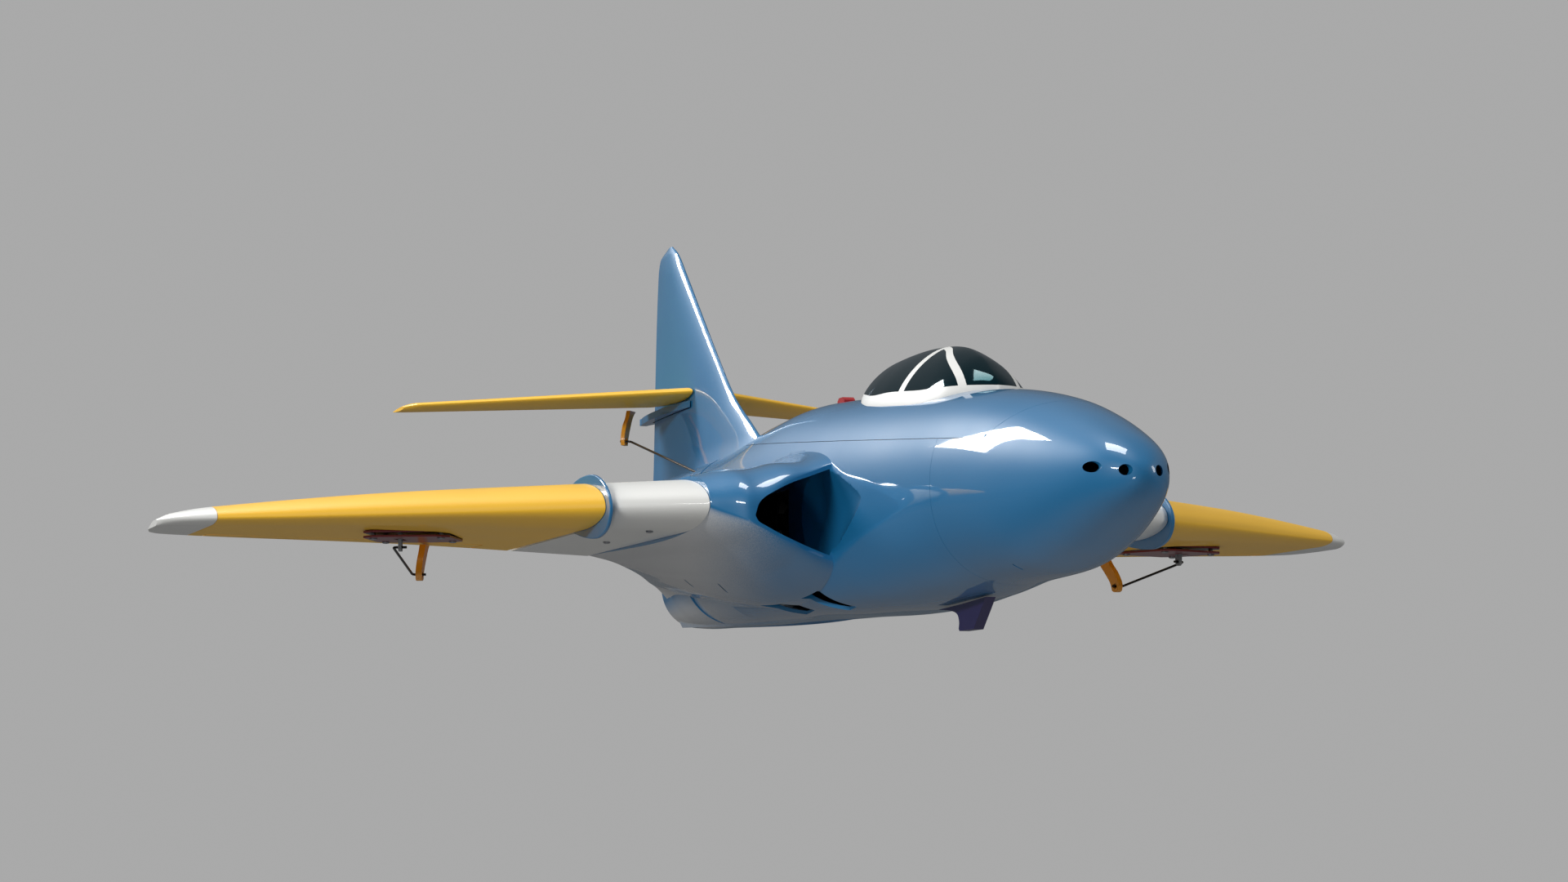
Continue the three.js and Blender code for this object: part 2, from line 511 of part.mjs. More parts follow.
function aileronDrive(name, side) {
  const { u, v, pivotZ, holeZ } = AILERON_ARM;
  const slot = [[u - 2.5, v - 8.5], [u + 2.5, v - 8.5], [u + 2.5, v + 8.5], [u - 2.5, v + 8.5]];
  const platePart = (z) => hingePlate(side, AILERON, plateOutline(), z, z + SERVO_PLATE.thick);
  const slotPart = hingePlate(side, AILERON, slot, -30, 0);
  const { u0, u1, v0, v1, coverZ, trayZ, thick } = SERVO_PLATE;
  add(`servo_tray_${name}`, cut(platePart(trayZ), slotPart), CRIMSON);
  const posts = [u0 + 6, u1 - 6].flatMap((pu) => [v0 + 9, v1 - 9].map((pv) => {
    const at = (z) => hingePoint(side, AILERON, pu, pv, z);
    const post = bar(at(coverZ + thick / 2), at(trayZ - GAP), 2);
    return join(post, bar(at(coverZ - 0.8), at(coverZ + 0.2), 2.6));
  }));
  add(`servo_cover_${name}`, cut(join(platePart(coverZ), ...posts), slotPart), CRIMSON);

  const servoZ = pivotZ - SERVO.width / 2 + 0.1;
  const faceU = u - 3.5;
  const bottomU = faceU - SERVO.height;
  const servoPlan = [[bottomU, v - SERVO.ahead], [faceU, v - SERVO.ahead],
    [faceU, v + SERVO.behind], [bottomU, v + SERVO.behind]];
  const body = hingePlate(side, AILERON, servoPlan, servoZ, servoZ + SERVO.width);
  const shaft = crossBar(side, AILERON, u - 4, u - 1.3, v, pivotZ, 2);
  add(`aileron_servo_${name}`, join(body, shaft), BLACK);

  const armShape = [[v - 3, pivotZ + 3], [v - 2, holeZ - 2.4], [v + 2, holeZ - 2.4], [v + 3, pivotZ + 3]];
  const armHole = crossBar(side, AILERON, u - 5, u + 5, v, holeZ, PUSHROD_R + GAP);
  add(`aileron_servo_arm_${name}`, cut(crossPlate(side, AILERON, armShape, u - 1, u + 1), armHole), GREY);

  const [pinU, rodU] = [u - 4, u + 4.5];
  const at = (pu, pv, z) => hingePoint(side, AILERON, pu, pv, z);
  const bends = [at(pinU, v, holeZ), at(rodU, v, holeZ),
    at(rodU, 0, AILERON_HORN_Z), at(pinU, 0, AILERON_HORN_Z)];
  add(`aileron_pushrod_${name}`, wire(bends, PUSHROD_R), BLACK);

  const horn = [[20, -9.4], [8.5, -9.4], [0.5, -20], [-3.2, -27],
    [-2.8, -32.6], [2.8, -32.6], [5, -26], [12.5, -16.5]];
  const hornHole = crossBar(side, AILERON, u - 6, u + 6, 0, AILERON_HORN_Z, PUSHROD_R + 0.95);
  add(`aileron_horn_${name}`, cut(crossPlate(side, AILERON, horn, u - 2, u + 2), hornHole), AMBER);
}

// ---------------------------------------------------------------- tail
function stabRing(side, x) {
  const share = (x - STAB.root) / (STAB.tip - STAB.root);
  const mix = (a, b) => a + (b - a) * share;
  const [lead, trail] = [mix(STAB.leadRoot, STAB.leadTip), mix(STAB.tailRoot, STAB.tailTip)];
  return symmetricSection(trail - lead, mix(9, 5)).map(([y, z]) => [side * x, lead + y, STAB.z + z]);
}

function stabilizer(name, side) {
  const xs = [STAB.root, 60, 115, 160, 169, STAB.tip];
  const whole = loft(xs.map((x) => stabRing(side, x)));
  add(`stabilizer_${name}`, cut(whole, surfaceSpace(side, ELEVATOR, 0, 0)), YELLOW);
  add(`elevator_${name}`, common(whole, surfaceSpace(side, ELEVATOR, 0.7)), YELLOW);

  const z = ELEVATOR_HORN_Z;
  const horn = [[20, 106.6], [8, 106.6], [-0.5, 95], [-4, z + 2],
    [-3.4, z - 4], [3.4, z - 4], [5, z + 3], [10, 96.5]];
  const hole = crossBar(side, ELEVATOR, -6, 6, 0, z, 2.4);
  add(`elevator_horn_${name}`, cut(crossPlate(side, ELEVATOR, horn, -1.5, 1.5), hole), AMBER);
}

const rodEnd = (side, x) => [side * x, ELEVATOR.y, ELEVATOR_HORN_Z];
const rodFront = (side, x, y = ELEVATOR_ARM.y) => [side * x, y, ELEVATOR_ARM.holeZ];
const elevatorRodHole = (side) => {
  const { x, bendY } = ELEVATOR_ROD;
  const slope = (ELEVATOR_HORN_Z - ELEVATOR_ARM.holeZ) / (ELEVATOR.y - bendY);
  const at = (y) => [side * x, y, ELEVATOR_ARM.holeZ + slope * (y - bendY)];
  return bar(at(56), at(200), 2.8);
};

function elevatorDrive(name, side) {
  const { x: rodX, bendY, endX } = ELEVATOR_ROD;
  const bends = [rodFront(side, endX), rodFront(side, rodX), rodFront(side, rodX, bendY),
    rodEnd(side, rodX), rodEnd(side, endX)];
  add(`elevator_pushrod_${name}`, wire(bends, PUSHROD_R), CARBON);
  const { x, y, pivotZ, holeZ } = ELEVATOR_ARM;
  const armShape = [[y - 3, pivotZ - 3], [y + 3, pivotZ - 3], [y + 3, holeZ + 3.4], [y - 3, holeZ + 3.4]];
  const hole = bar([side * 20, y, holeZ], [side * 40, y, holeZ], PUSHROD_R + 1.2);
  add(`elevator_servo_arm_${name}`, cut(sidePlate(armShape, side * x, 2), hole), GREY);
  const body = sided(side, x - 1.5 - SERVO.height, x - 1.5,
    y - SERVO.ahead, y + SERVO.behind, pivotZ - 5.8, pivotZ + 6.2);
  add(`elevator_servo_${name}`, body, BLACK);
}

function saddle() {
  const plan = [];
  for (let i = 0; i <= 16; i++) {
    const y = 172 + (332 - 172) * (i / 16);
    plan.push([8.5 * Math.sin(Math.PI * Math.min(0.97, 0.1 + 0.9 * (i / 16))) ** 0.6 + 0.6, y]);
  }
  const outline = [...plan, ...plan.map(([x, y]) => [-x, y]).reverse()];
  const finSlot = loft([90, 120].map((z) => symmetricSection(300 - 80, 13).map(([y, x]) => [x, 84 + y, z])));
  return cut(plate(outline, 101, 105.8), finSlot);
}

// ---------------------------------------------------------------- canopy and hatch
// Canopy along its length: [y, base height], [y, top], [y, half width].
const CANOPY_BASE = [[-443, 50], [-430, 50], [-395, 48], [-364, 49.5], [-335, 52], [-305, 54.5], [-278, 58.5],
  [-250, 62.5], [-206, 67]];
const CANOPY_TOP = [[-443, 54], [-438, 60], [-428, 67], [-410, 76], [-382, 83.5], [-355, 86.3], [-320, 87.6],
  [-278, 86.6], [-254, 84], [-234, 79.5], [-218, 74.5], [-206, 69]];
const CANOPY_HALF = [[-443, 2], [-438, 11], [-430, 18.5], [-418, 26], [-395, 31.3], [-364, 33], [-335, 33.2],
  [-305, 32], [-278, 27.5], [-250, 19.5], [-225, 10.5], [-206, 2]];

// Height of the frame's rail above the base line.
const RAIL_RISE = [[-443, 6], [-420, 7], [-395, 9], [-355, 9.5], [-305, 7.5], [-250, 6], [-206, 4]];
// Plan of a windscreen post, from the arch to the rail: [x, y].
const POST = [[3, -358], [6, -374], [11.5, -392], [15, -412], [17.5, -440]];

// Canopy body above its base line; grow widens it, deep carries it below the base line.
function canopySolid(grow, deep = 16) {
  const ys = [-443, -440, -436, -428, -418, -400, -380, -355, -325, -295, -265, -240, -222, -210, -206];
  const [steps, peak] = [14, 1.32];
  const rings = ys.map((y) => {
    const base = through(CANOPY_BASE, y);
    const half = Math.max(through(CANOPY_HALF, y) + grow, 0.4);
    const rise = Math.max(through(CANOPY_TOP, y) - base + grow, 0.8);
    const ring = [];
    for (let i = 0; i <= steps; i++) {
      const angle = (Math.PI * i) / steps;
      const [c, s] = [Math.cos(angle), Math.sin(angle)];
      ring.push([half * Math.sign(c) * Math.abs(c) ** peak, y, base + rise * s ** peak]);
    }
    return [...ring, [-half, y, base - deep], [half, y, base - deep]];
  });
  return loft(rings);
}

function canopy() {
  const shell = cut(canopySolid(0, 3), canopySolid(-CANOPY.wall, 30));
  const [first, last] = [CANOPY_BASE[0][0], CANOPY_BASE[CANOPY_BASE.length - 1][0]];
  const ys = [...Array(13).keys()].map((i) => first + ((last - first) * i) / 12);
  const railTop = (y) => through(CANOPY_BASE, y) + through(RAIL_RISE, y);
  const band = sidePlate([...ys.map((y) => [y, railTop(y)]),
    ...ys.slice().reverse().map((y) => [y, through(CANOPY_BASE, y) - 40])], 0, 100);
  const { arch: archY, archHalf, postHalf } = CANOPY;
  const arch = (gap) => box(-50, 50, archY - archHalf - gap, archY + archHalf + gap, 30, 100);
  const line = smooth(POST, 8);
  const post = (side, gap) => {
    const edge = (k) => line.map(([x, y], i) => {
      const [next, last] = [line[Math.min(i + 1, line.length - 1)], line[Math.max(i - 1, 0)]];
      const along = new THREE.Vector2(next[0] - last[0], next[1] - last[1]).normalize();
      return [side * (x - along.y * (postHalf + gap) * k), y + along.x * (postHalf + gap) * k];
    });
    return plate([...edge(1), ...edge(-1).reverse()], 30, 100);
  };
  const bands = (gap) => [band, arch(gap), post(1, gap), post(-1, gap)];
  add('canopy_frame', common(shell, join(...bands(0))), WHITE);
  const glass = cut(shell, ...bands(0.15));
  const foot = POST[POST.length - 1][0];
  const mirrored = line.map(([x, y]) => [-x, y]).reverse();
  const middle = plate([...line, [foot, -460], [-foot, -460], ...mirrored], 30, 100);
  const ahead = box(-60, 60, -520, CANOPY.arch, 20, 110);
  add('windscreen', common(glass, middle), GLASS);
  for (const [name, side] of SIDES) {
    const outboard = cut(common(glass, ahead), middle);
    add(`canopy_pane_${name}`, common(outboard, sided(side, 0.1, 60, -520, -300, 20, 110)), GLASS);
  }
  add('canopy_bubble', common(glass, box(-60, 60, CANOPY.arch, -180, 20, 110)), GLASS);
}

function cockpit() {
  const tub = cut(box(-17, 17, -418, -268, 30, 46), box(-15, 15, -416, -270, 32, 50));
  const seat = join(box(-9, 9, -335, -315, 31, 62), box(-9, 9, -362, -330, 31, 37));
  const panel = box(-15.5, 15.5, -396, -390, 31, 53);
  add('cockpit_tub', join(tub, seat, panel), BLACK);
  const latch = sidePlate([[-166, 72], [-152, 72], [-152, 73.6],
    [-155, 75.4], [-163, 75.4], [-166, 73.6]], 0, 7);
  add('hatch_latch', latch, RED);
}

// ---------------------------------------------------------------- fan, power and control gear
function fanUnit() {
  const { y, z, bore, length } = FAN;
  const tube = (r0, r1, y0, y1) => cut(bar([0, y0, z], [0, y1, z], r1, 24),
    bar([0, y0 - 1, z], [0, y1 + 1, z], r0, 24));
  const [front, rear] = [y - length / 2, y + length / 2];
  const vanes = [0, 1, 2, 3].map((i) => {
    const angle = Math.PI / 4 + (i * Math.PI) / 2;
    return bar([15 * Math.cos(angle), rear - 9, z + 15 * Math.sin(angle)],
      [33 * Math.cos(angle), rear - 9, z + 33 * Math.sin(angle)], 1.6, 8);
  });
  const housing = join(tube(bore, 34, front, rear), tube(14.4, 16, rear - 24, rear - 1), ...vanes);
  add('fan_housing', housing, BLACK);
  add('fan_motor', bar([0, rear - 25, z], [0, rear + 8, z], 14, 24), STEEL);

  const spinner = bar([0, front - 8, z], [0, front + 6, z], 4, 24, 15);
  const hub = join(bar([0, front + 6, z], [0, front + 22, z], 15, 24), spinner);
  const blades = [...Array(6).keys()].map((i) => {
    const angle = (i * Math.PI) / 3;
    const radial = [Math.cos(angle), 0, Math.sin(angle)];
    const chord = [-Math.sin(angle) * 0.64, 0.77, Math.cos(angle) * 0.64];
    const start = [radial[0] * 14, front + 14, z + radial[2] * 14];
    const outline = [[0, -6], [17.4, -7], [17.4, 7], [0, 6]];
    return prism(outline, start, radial, chord, 1.2);
  });
  add('fan_rotor', join(hub, ...blades), BLACK);

  const [tubeStart, tubeEnd] = [[0, rear + 5, z], [0, 173, -25]];
  const lengthen = (k) => [0, 1, 2].map((i) => tubeStart[i] + (tubeEnd[i] - tubeStart[i]) * k);
  const outer = bar(tubeStart, tubeEnd, 33.4, 24, 22.5);
  add('thrust_tube', cut(outer, bar(lengthen(-0.01), lengthen(1.01), 32.5, 24, 21.4)), BLACK);
}

function equipment() {
  const tray = join(box(-24, 24, -470, -300, -38, -36), box(-2, 2, -470, -300, -52, -37));
  add('battery_tray', tray, WHITE);
  add('battery', box(-17, 17, -465, -360, -35.6, -11), BLACK);
  add('speed_controller', box(-13, 13, -350, -304, -35.6, -26), BLACK);
  add('receiver', box(-12, 12, -285, -245, -52, -40), GREEN);
  add('receiver_shelf', box(-22, 22, -295, -238, -54.5, -52.4), WHITE);
}

function launchHook() {
  const outline = [[-427, -60.9], [-405, HOOK_FOOT_Z], [-380, HOOK_FOOT_Z],
    ...smooth([[-382, -72.5], [-377, -68], [-364, -65.6], [-343, -64.2]], 8), [-385, -62.9]];
  add('launch_hook', sidePlate(outline, 0, HOOK_THICK), NAVY);
}

// ---------------------------------------------------------------- assembly
fuselage();
tailSection();
add('stab_saddle', saddle(), BLUE);
canopy();
cockpit();
fanUnit();
equipment();
launchHook();
for (const [name, side] of SIDES) {
  wing(name, side);
  aileronDrive(name, side);
  stabilizer(name, side);
  elevatorDrive(name, side);
}
aircraft.position.set(...DATUM);

export default aircraft;
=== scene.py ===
"""Swept-wing ducted-fan model jet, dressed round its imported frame.

Shapes are worked out in millimetres in the airframe's own datum (+X port, +Y aft, +Z up, Y = 0 at
the wing tips, Z = 0 in the wing plane); place() turns them into the frame's metres.
"""
import json
import math

import bpy
import numpy as np
from mathutils import Matrix, Vector


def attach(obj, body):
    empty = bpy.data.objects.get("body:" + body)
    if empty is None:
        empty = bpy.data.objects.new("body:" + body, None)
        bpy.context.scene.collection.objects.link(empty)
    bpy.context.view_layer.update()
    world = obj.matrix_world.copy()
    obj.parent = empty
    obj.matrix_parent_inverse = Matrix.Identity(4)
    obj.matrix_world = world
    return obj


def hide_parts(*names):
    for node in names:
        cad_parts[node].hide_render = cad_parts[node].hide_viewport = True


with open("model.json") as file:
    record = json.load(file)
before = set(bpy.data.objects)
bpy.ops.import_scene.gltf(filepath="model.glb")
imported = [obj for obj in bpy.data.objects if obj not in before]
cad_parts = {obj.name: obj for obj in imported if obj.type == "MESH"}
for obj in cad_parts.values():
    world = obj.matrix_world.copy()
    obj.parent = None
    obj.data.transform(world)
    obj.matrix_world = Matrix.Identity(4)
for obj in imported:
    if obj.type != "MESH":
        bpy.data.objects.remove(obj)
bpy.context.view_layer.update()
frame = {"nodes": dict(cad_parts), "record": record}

# ------------------------------------------------------------------ driving dimensions, mm
DATUM = np.array([0.0, 138.5, 78.0])
MM = 0.001
NOSE_Y, TAIL_SEAM_Y, NOSE_SEAM_Y, BOOM_END_Y = -665, 60, -472, 301
WALL, SKIN, GAP = 2, 1.4, 0.3
CLEAR = 0.05            # between screws or posts and what they touch
SIDES = (("left", 1), ("right", -1))

# Fuselage stations: y, top, bottom, half width, squareness of the lower half.
BODY = [(-665, -10, -10, 0, 2.2), (-660, -1.5, -19, 10, 2.2), (-644, 9, -28, 21, 2.2),
        (-615, 20, -38.5, 30.5, 2.2), (-585, 29.5, -47.5, 37, 2.2), (-543, 40, -54.5, 44, 2.2),
        (-480, 50, -56.5, 50, 2.2), (-400, 57, -61, 55.5, 2.5), (-320, 63, -63, 59, 3.1),
        (-250, 67, -62.5, 60, 3.6), (-158, 71, -60, 58, 3.6), (-97, 68.5, -59, 56, 3.3),
        (13, 60.5, -57, 50, 2.8), (60, 58.8, -56, 46, 2.4), (100, 57.5, -55, 43, 2.2)]
NOZZLE = [(56, 40, -56, 46, 2.4), (100, 30, -55, 41, 2.3), (140, 19, -54, 34, 2.2),
          (176, 8, -52, 28, 2.2)]
BOOM = [(56, 58.8, -50, 46, 2.2), (100, 57.5, -30, 42, 2.2), (176, 56.5, 5, 28, 2.2),
        (240, 57, 26, 17, 2.2), (301, 58, 40, 7, 2.2)]
UPPER_SQUARENESS = 2.2
# Wing-root glove stations: x, lead y, trail y, mouth top, mouth bottom, trail z, crown, keel,
# sharpness of the crown's front.
GLOVE = [(14, -312, 172, 28, -42, -52, 30, -14, 0.7), (28, -312, 158, 25, -38, -34, 40, -21, 0.7),
         (45, -312, 133, 22, -37, -25.5, 36, -21, 0.7), (51, -312, 121, 22, -36, -24.5, 28, -21, 0.7),
         (58, -312, 104, 20.5, -34.5, -23.5, 23, -20, 0.7),
         (68, -314, 81, 16.5, -31.5, -22, 20.5, -17.5, 0.66),
         (85, -319, 46, 9.5, -24.5, -20, 21, -13, 0.56), (107, -322, 8, -5.5, -14, -17.5, 29, -9, 0.5),
         (127, -303, -15, -3.5, -3.5, -15.6, 23, -10.5, 0.5)]
# Air intake's mouth seen from ahead: x, top, bottom.
MOUTH = [(55, 18, -32), (68, 13.5, -28), (82, 8.8, -23.2), (92, 4.2, -19.2), (99, 0.4, -16),
         (103.4, -3.9, -13.8), (105.4, -9.8, -10.8)]
# Its way in: y, share of its height, inner x, bow of its inner side.
SCOOP = [(-388, 0.1, 60, 6), (-368, 0.45, 57, 6), (-345, 0.8, 55, 6), (-322, 1, 53.8, 5), (-290, 1, 53, 4),
         (-255, 0.8, 62, 2)]
# Duct behind each mouth's lip, throat between duct and fan, and wall left beside each mouth.
DUCT = dict(front=-294, inner=40)
THROAT = dict(inner=46, outer=70, front=-235, rear=-150, low=-22, high=12)
LINER = dict(inner=51, outer=80, front=-376, rear=-252, low=-45, high=29)
PORTS = dict(y=-600, r=2.9, at=((20.8, -6), (9.1, -8.5)))
# Belly vents' corners in plan.
VENTS = [[(48.7, -135), (50.2, -186), (35.6, -209), (27.9, -167), (41.2, -143)],
         [(51.4, -232), (51.5, -265), (33.5, -286), (30.5, -263), (44.4, -241.5)]]
SLOTS = [((76, -60), (67, -48)), ((75, -135), (66, -123))]   # narrow slots under each glove, end to end
NOTCH = ((18, -531), (24, -531))                             # chin notch
SLOT_HALF = 0.7
BELLY_HATCH = dict(half=40, front=-130, rear=-45)
WING = dict(root=127, fence=175, cap=371, lead=-303, slope=1.031)
FENCE_THICK = 2
AILERON = dict(inner=198, outer=362, x=236, y=-7, z=-4, sweep=24)
ELEVATOR = dict(inner=9, outer=164, x=30, y=270.4, z=111.4, sweep=34.3)
AILERON_ARM = dict(u=-1, v=-57, pivot=1.5, hole=-15.5)
AILERON_HORN_Z, ELEVATOR_HORN_Z = -29.1, 84
ELEVATOR_ARM = dict(y=22, hole=43)
ELEVATOR_ROD = dict(x=25.5, bend=68, end=33)
ROD_R, ROD_BEND = 0.8, 2.2
ROD_TUNNEL = dict(front=56, rear=200, r=2.8)
PLATE = dict(u0=-36, u1=18.5, v0=-82, v1=-29, chamfer=7, thick=1.4, tray=-7.7, cover=-10.8)
STAB = dict(root=6.3, tip=173, z=111.4, lead=(175, 333), trail=(297, 387))
HATCH = dict(rear=8, front=-507, reach=54, half=46, z=57, slope=0.075)
ARCH_Y, ARCH_HALF, POST_HALF = -359.5, 4.5, 1.9


# ------------------------------------------------------------------ numbers
def through(stations, s, column=1):
    """Value at s on a curve through stations, with no overshoot between them."""
    xs = [row[0] for row in stations]
    ys = [row[column] for row in stations]
    if s <= xs[0]:
        return ys[0]
    if s >= xs[-1]:
        return ys[-1]
    i = max(k for k in range(len(xs) - 1) if xs[k] <= s)

    def slope(k):
        return (ys[k + 1] - ys[k]) / (xs[k + 1] - xs[k])

    def tangent(k):
        if k == 0:
            return slope(0)
        if k == len(xs) - 1:
            return slope(k - 1)
        a, b = slope(k - 1), slope(k)
        return 0 if a * b <= 0 else 2 * a * b / (a + b)

    span = xs[i + 1] - xs[i]
    t = (s - xs[i]) / span
    return (ys[i] * (1 + 2 * t) * (1 - t) ** 2 + ys[i + 1] * t * t * (3 - 2 * t)
            + span * (tangent(i) * t * (1 - t) ** 2 - tangent(i + 1) * t * t * (1 - t)))


def spread(a, b, count):
    return [a + (b - a) * i / count for i in range(count + 1)]


def nose_shares(count):
    """Chord shares from leading to trailing edge, crowded at the nose."""
    return [0.5 - 0.5 * math.cos(math.pi * i / count) if i < count / 2
            else i / count for i in range(count + 1)]


def smooth_line(points, per_span=8):
    """Catmull-Rom curve through plane points."""
    pts = [Vector(p) for p in points]
    last = len(pts) - 1
    line = []
    for i in range(last):
        p0, p1, p2, p3 = (pts[min(max(i + k, 0), last)] for k in (-1, 0, 1, 2))
        for j in range(per_span):
            t = j / per_span
            line.append(tuple(0.5 * (2 * p1 + (p2 - p0) * t + (2 * p0 - 5 * p1 + 4 * p2 - p3) * t * t
                                     + (3 * p1 - p0 - 3 * p2 + p3) * t ** 3)))
    line.append(tuple(pts[-1]))
    return line


def turns(count):
    """Angles of count even steps round a circle."""
    return [2 * math.pi * i / count for i in range(count)]


# ------------------------------------------------------------------ meshes
def place(points):
    return (np.asarray(points, dtype=float) + DATUM) * MM


def make(name, points, faces):
    """A new object from datum points, with its faces turned outward."""
    mesh = bpy.data.meshes.new(name)
    mesh.from_pydata(place(points).tolist(), [], faces)
    mesh.validate()
    obj = bpy.data.objects.new(name, mesh)
    bpy.context.scene.collection.objects.link(obj)
    if signed_volume(mesh) < 0:
        mesh.flip_normals()
    return obj


def signed_volume(mesh):
    mesh.calc_loop_triangles()
    v = np.empty(len(mesh.vertices) * 3)
    mesh.vertices.foreach_get("co", v)
    v = v.reshape(-1, 3)
    t = np.empty(len(mesh.loop_triangles) * 3, dtype=np.int32)
    mesh.loop_triangles.foreach_get("vertices", t)
    t = t.reshape(-1, 3)
    return float(np.einsum("ij,ij->i", v[t[:, 0]], np.cross(v[t[:, 1]], v[t[:, 2]])).sum())


def loft(name, rings):
    """A skin over rings of points, closed at both ends."""
    count = len(rings[0])
    points = [p for ring in rings for p in ring]
    faces = []
    for r in range(len(rings) - 1):
        for i in range(count):
            a, b = r * count + i, r * count + (i + 1) % count
            faces.append((a, b, b + count, a + count))
    for ring, base in ((rings[0], 0), (rings[-1], (len(rings) - 1) * count)):
        points.append(tuple(np.mean(ring, axis=0)))
        hub = len(points) - 1
        for i in range(count):
            a, b = base + i, base + (i + 1) % count
            faces.append((hub, b, a) if base == 0 else (hub, a, b))
    return make(name, points, faces)


def prism(name, outline, origin, u_axis, v_axis, length):
    """Outline points (u, v) in the plane of two directions, drawn out along their normal."""
    u, v = Vector(u_axis).normalized(), Vector(v_axis).normalized()
    w = u.cross(v)
    base = [Vector(origin) + u * p[0] + v * p[1] for p in outline]
    n = len(base)
    points = [tuple(p) for p in base] + [tuple(p + w * length) for p in base]
    faces = [tuple(range(n))[::-1], tuple(range(n, 2 * n))]
    faces += [(i, (i + 1) % n, n + (i + 1) % n, n + i) for i in range(n)]
    return make(name, points, faces)


def plate(name, outline, z0, z1):
    return prism(name, outline, (0, 0, z0), (1, 0, 0), (0, 1, 0), z1 - z0)


def side_plate(name, outline, x, thick):
    return prism(name, outline, (x - thick / 2, 0, 0), (0, 1, 0), (0, 0, 1), thick)


def block(name, x0, x1, y0, y1, z0, z1):
    return plate(name, [(x0, y0), (x1, y0), (x1, y1), (x0, y1)], z0, z1)


def sided(name, side, x0, x1, *rest):
    return block(name, *sorted((side * x0, side * x1)), *rest)


def bar(name, start, end, radius):
    a, b = Vector(start), Vector(end)
    turn = (b - a).to_track_quat("Z", "Y")
    circle = [turn @ Vector((radius * math.cos(t), radius * math.sin(t), 0)) for t in turns(32)]
    return loft(name, [[tuple(at + p) for p in circle] for at in (a, b)])


def tube_path(name, points, radius, bend):
    """A bent wire: straight runs joined by round bends."""
    pts = [Vector(p) for p in points]
    line = [pts[0]]
    for i in range(1, len(pts) - 1):
        back, on = (pts[i - 1] - pts[i]).normalized(), (pts[i + 1] - pts[i]).normalized()
        a, b = pts[i] + back * bend, pts[i] + on * bend
        line += [(1 - t) ** 2 * a + 2 * t * (1 - t) * pts[i] + t * t * b for t in spread(0, 1, 8)]
    line.append(pts[-1])
    rings, normal = [], None
    for i, at in enumerate(line):
        along = (line[min(i + 1, len(line) - 1)] - line[max(i - 1, 0)]).normalized()
        if normal is None:
            normal = along.orthogonal().normalized()
        normal = (normal - along * normal.dot(along)).normalized()
        across = along.cross(normal)
        rings.append([tuple(at + (normal * math.cos(t) + across * math.sin(t)) * radius)
                      for t in turns(16)])
    return loft(name, rings)


def cut_with(obj, tool, operation="DIFFERENCE", keep_tool=False):
    """Solid boolean on closed meshes; the result stays in obj."""
    step = obj.modifiers.new("solid", "BOOLEAN")
    step.operation, step.object, step.solver = operation, tool, "MANIFOLD"
    bake(obj)
    if not keep_tool:
        bpy.data.objects.remove(tool)
    return obj


def bake(obj):
    """Applies every modifier of obj to its mesh."""
    graph = bpy.context.evaluated_depsgraph_get()
    graph.update()
    mesh = bpy.data.meshes.new_from_object(obj.evaluated_get(graph), depsgraph=graph)
    old = obj.data
    obj.modifiers.clear()
    obj.data = mesh
    mesh.name = obj.name
    bpy.data.meshes.remove(old)
    return obj


def union(obj, *others):
    for other in others:
        cut_with(obj, other, "UNION")
    return obj


def minus(obj, *tools):
    for tool in tools:
        cut_with(obj, tool)
    return obj


def overlap(obj, tool, keep=False):
    return cut_with(obj, tool, "INTERSECT", keep)


def copy(obj, name):
    twin = obj.copy()
    twin.data = obj.data.copy()
    twin.name = twin.data.name = name
    bpy.context.scene.collection.objects.link(twin)
    return twin


def round_edges(obj, width, segments=2, angle=40):
    edge = obj.modifiers.new("edges", "BEVEL")
    edge.width, edge.segments, edge.limit_method = width * MM, segments, "ANGLE"
    edge.angle_limit = math.radians(angle)
    edge.use_clamp_overlap = True
    return bake(obj)


SHARP_ANGLE = 32        # degrees between two faces that meet in a crease


def dress(obj, name, body, paint, replaced=()):
    """Names a finished piece, shades it, paints it and ties it to its body."""
    obj.name = obj.data.name = name
    mesh = obj.data
    mesh.materials.clear()
    mesh.materials.append(paint)
    mesh.shade_smooth()
    mesh.set_sharp_from_angle(angle=math.radians(SHARP_ANGLE))
    even = obj.modifiers.new("even shading", "WEIGHTED_NORMAL")
    even.keep_sharp = True
    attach(obj, body)
    if replaced:
        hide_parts(*replaced)
    return obj


# ------------------------------------------------------------------ materials
def srgb(r, g, b):
    return tuple((c / 255 / 12.92) if c <= 10 else ((c / 255 + 0.055) / 1.055) ** 2.4 for c in (r, g, b))


PLASTIC_IOR = 1.5
WEAR = 0.08             # how far the gloss wanders


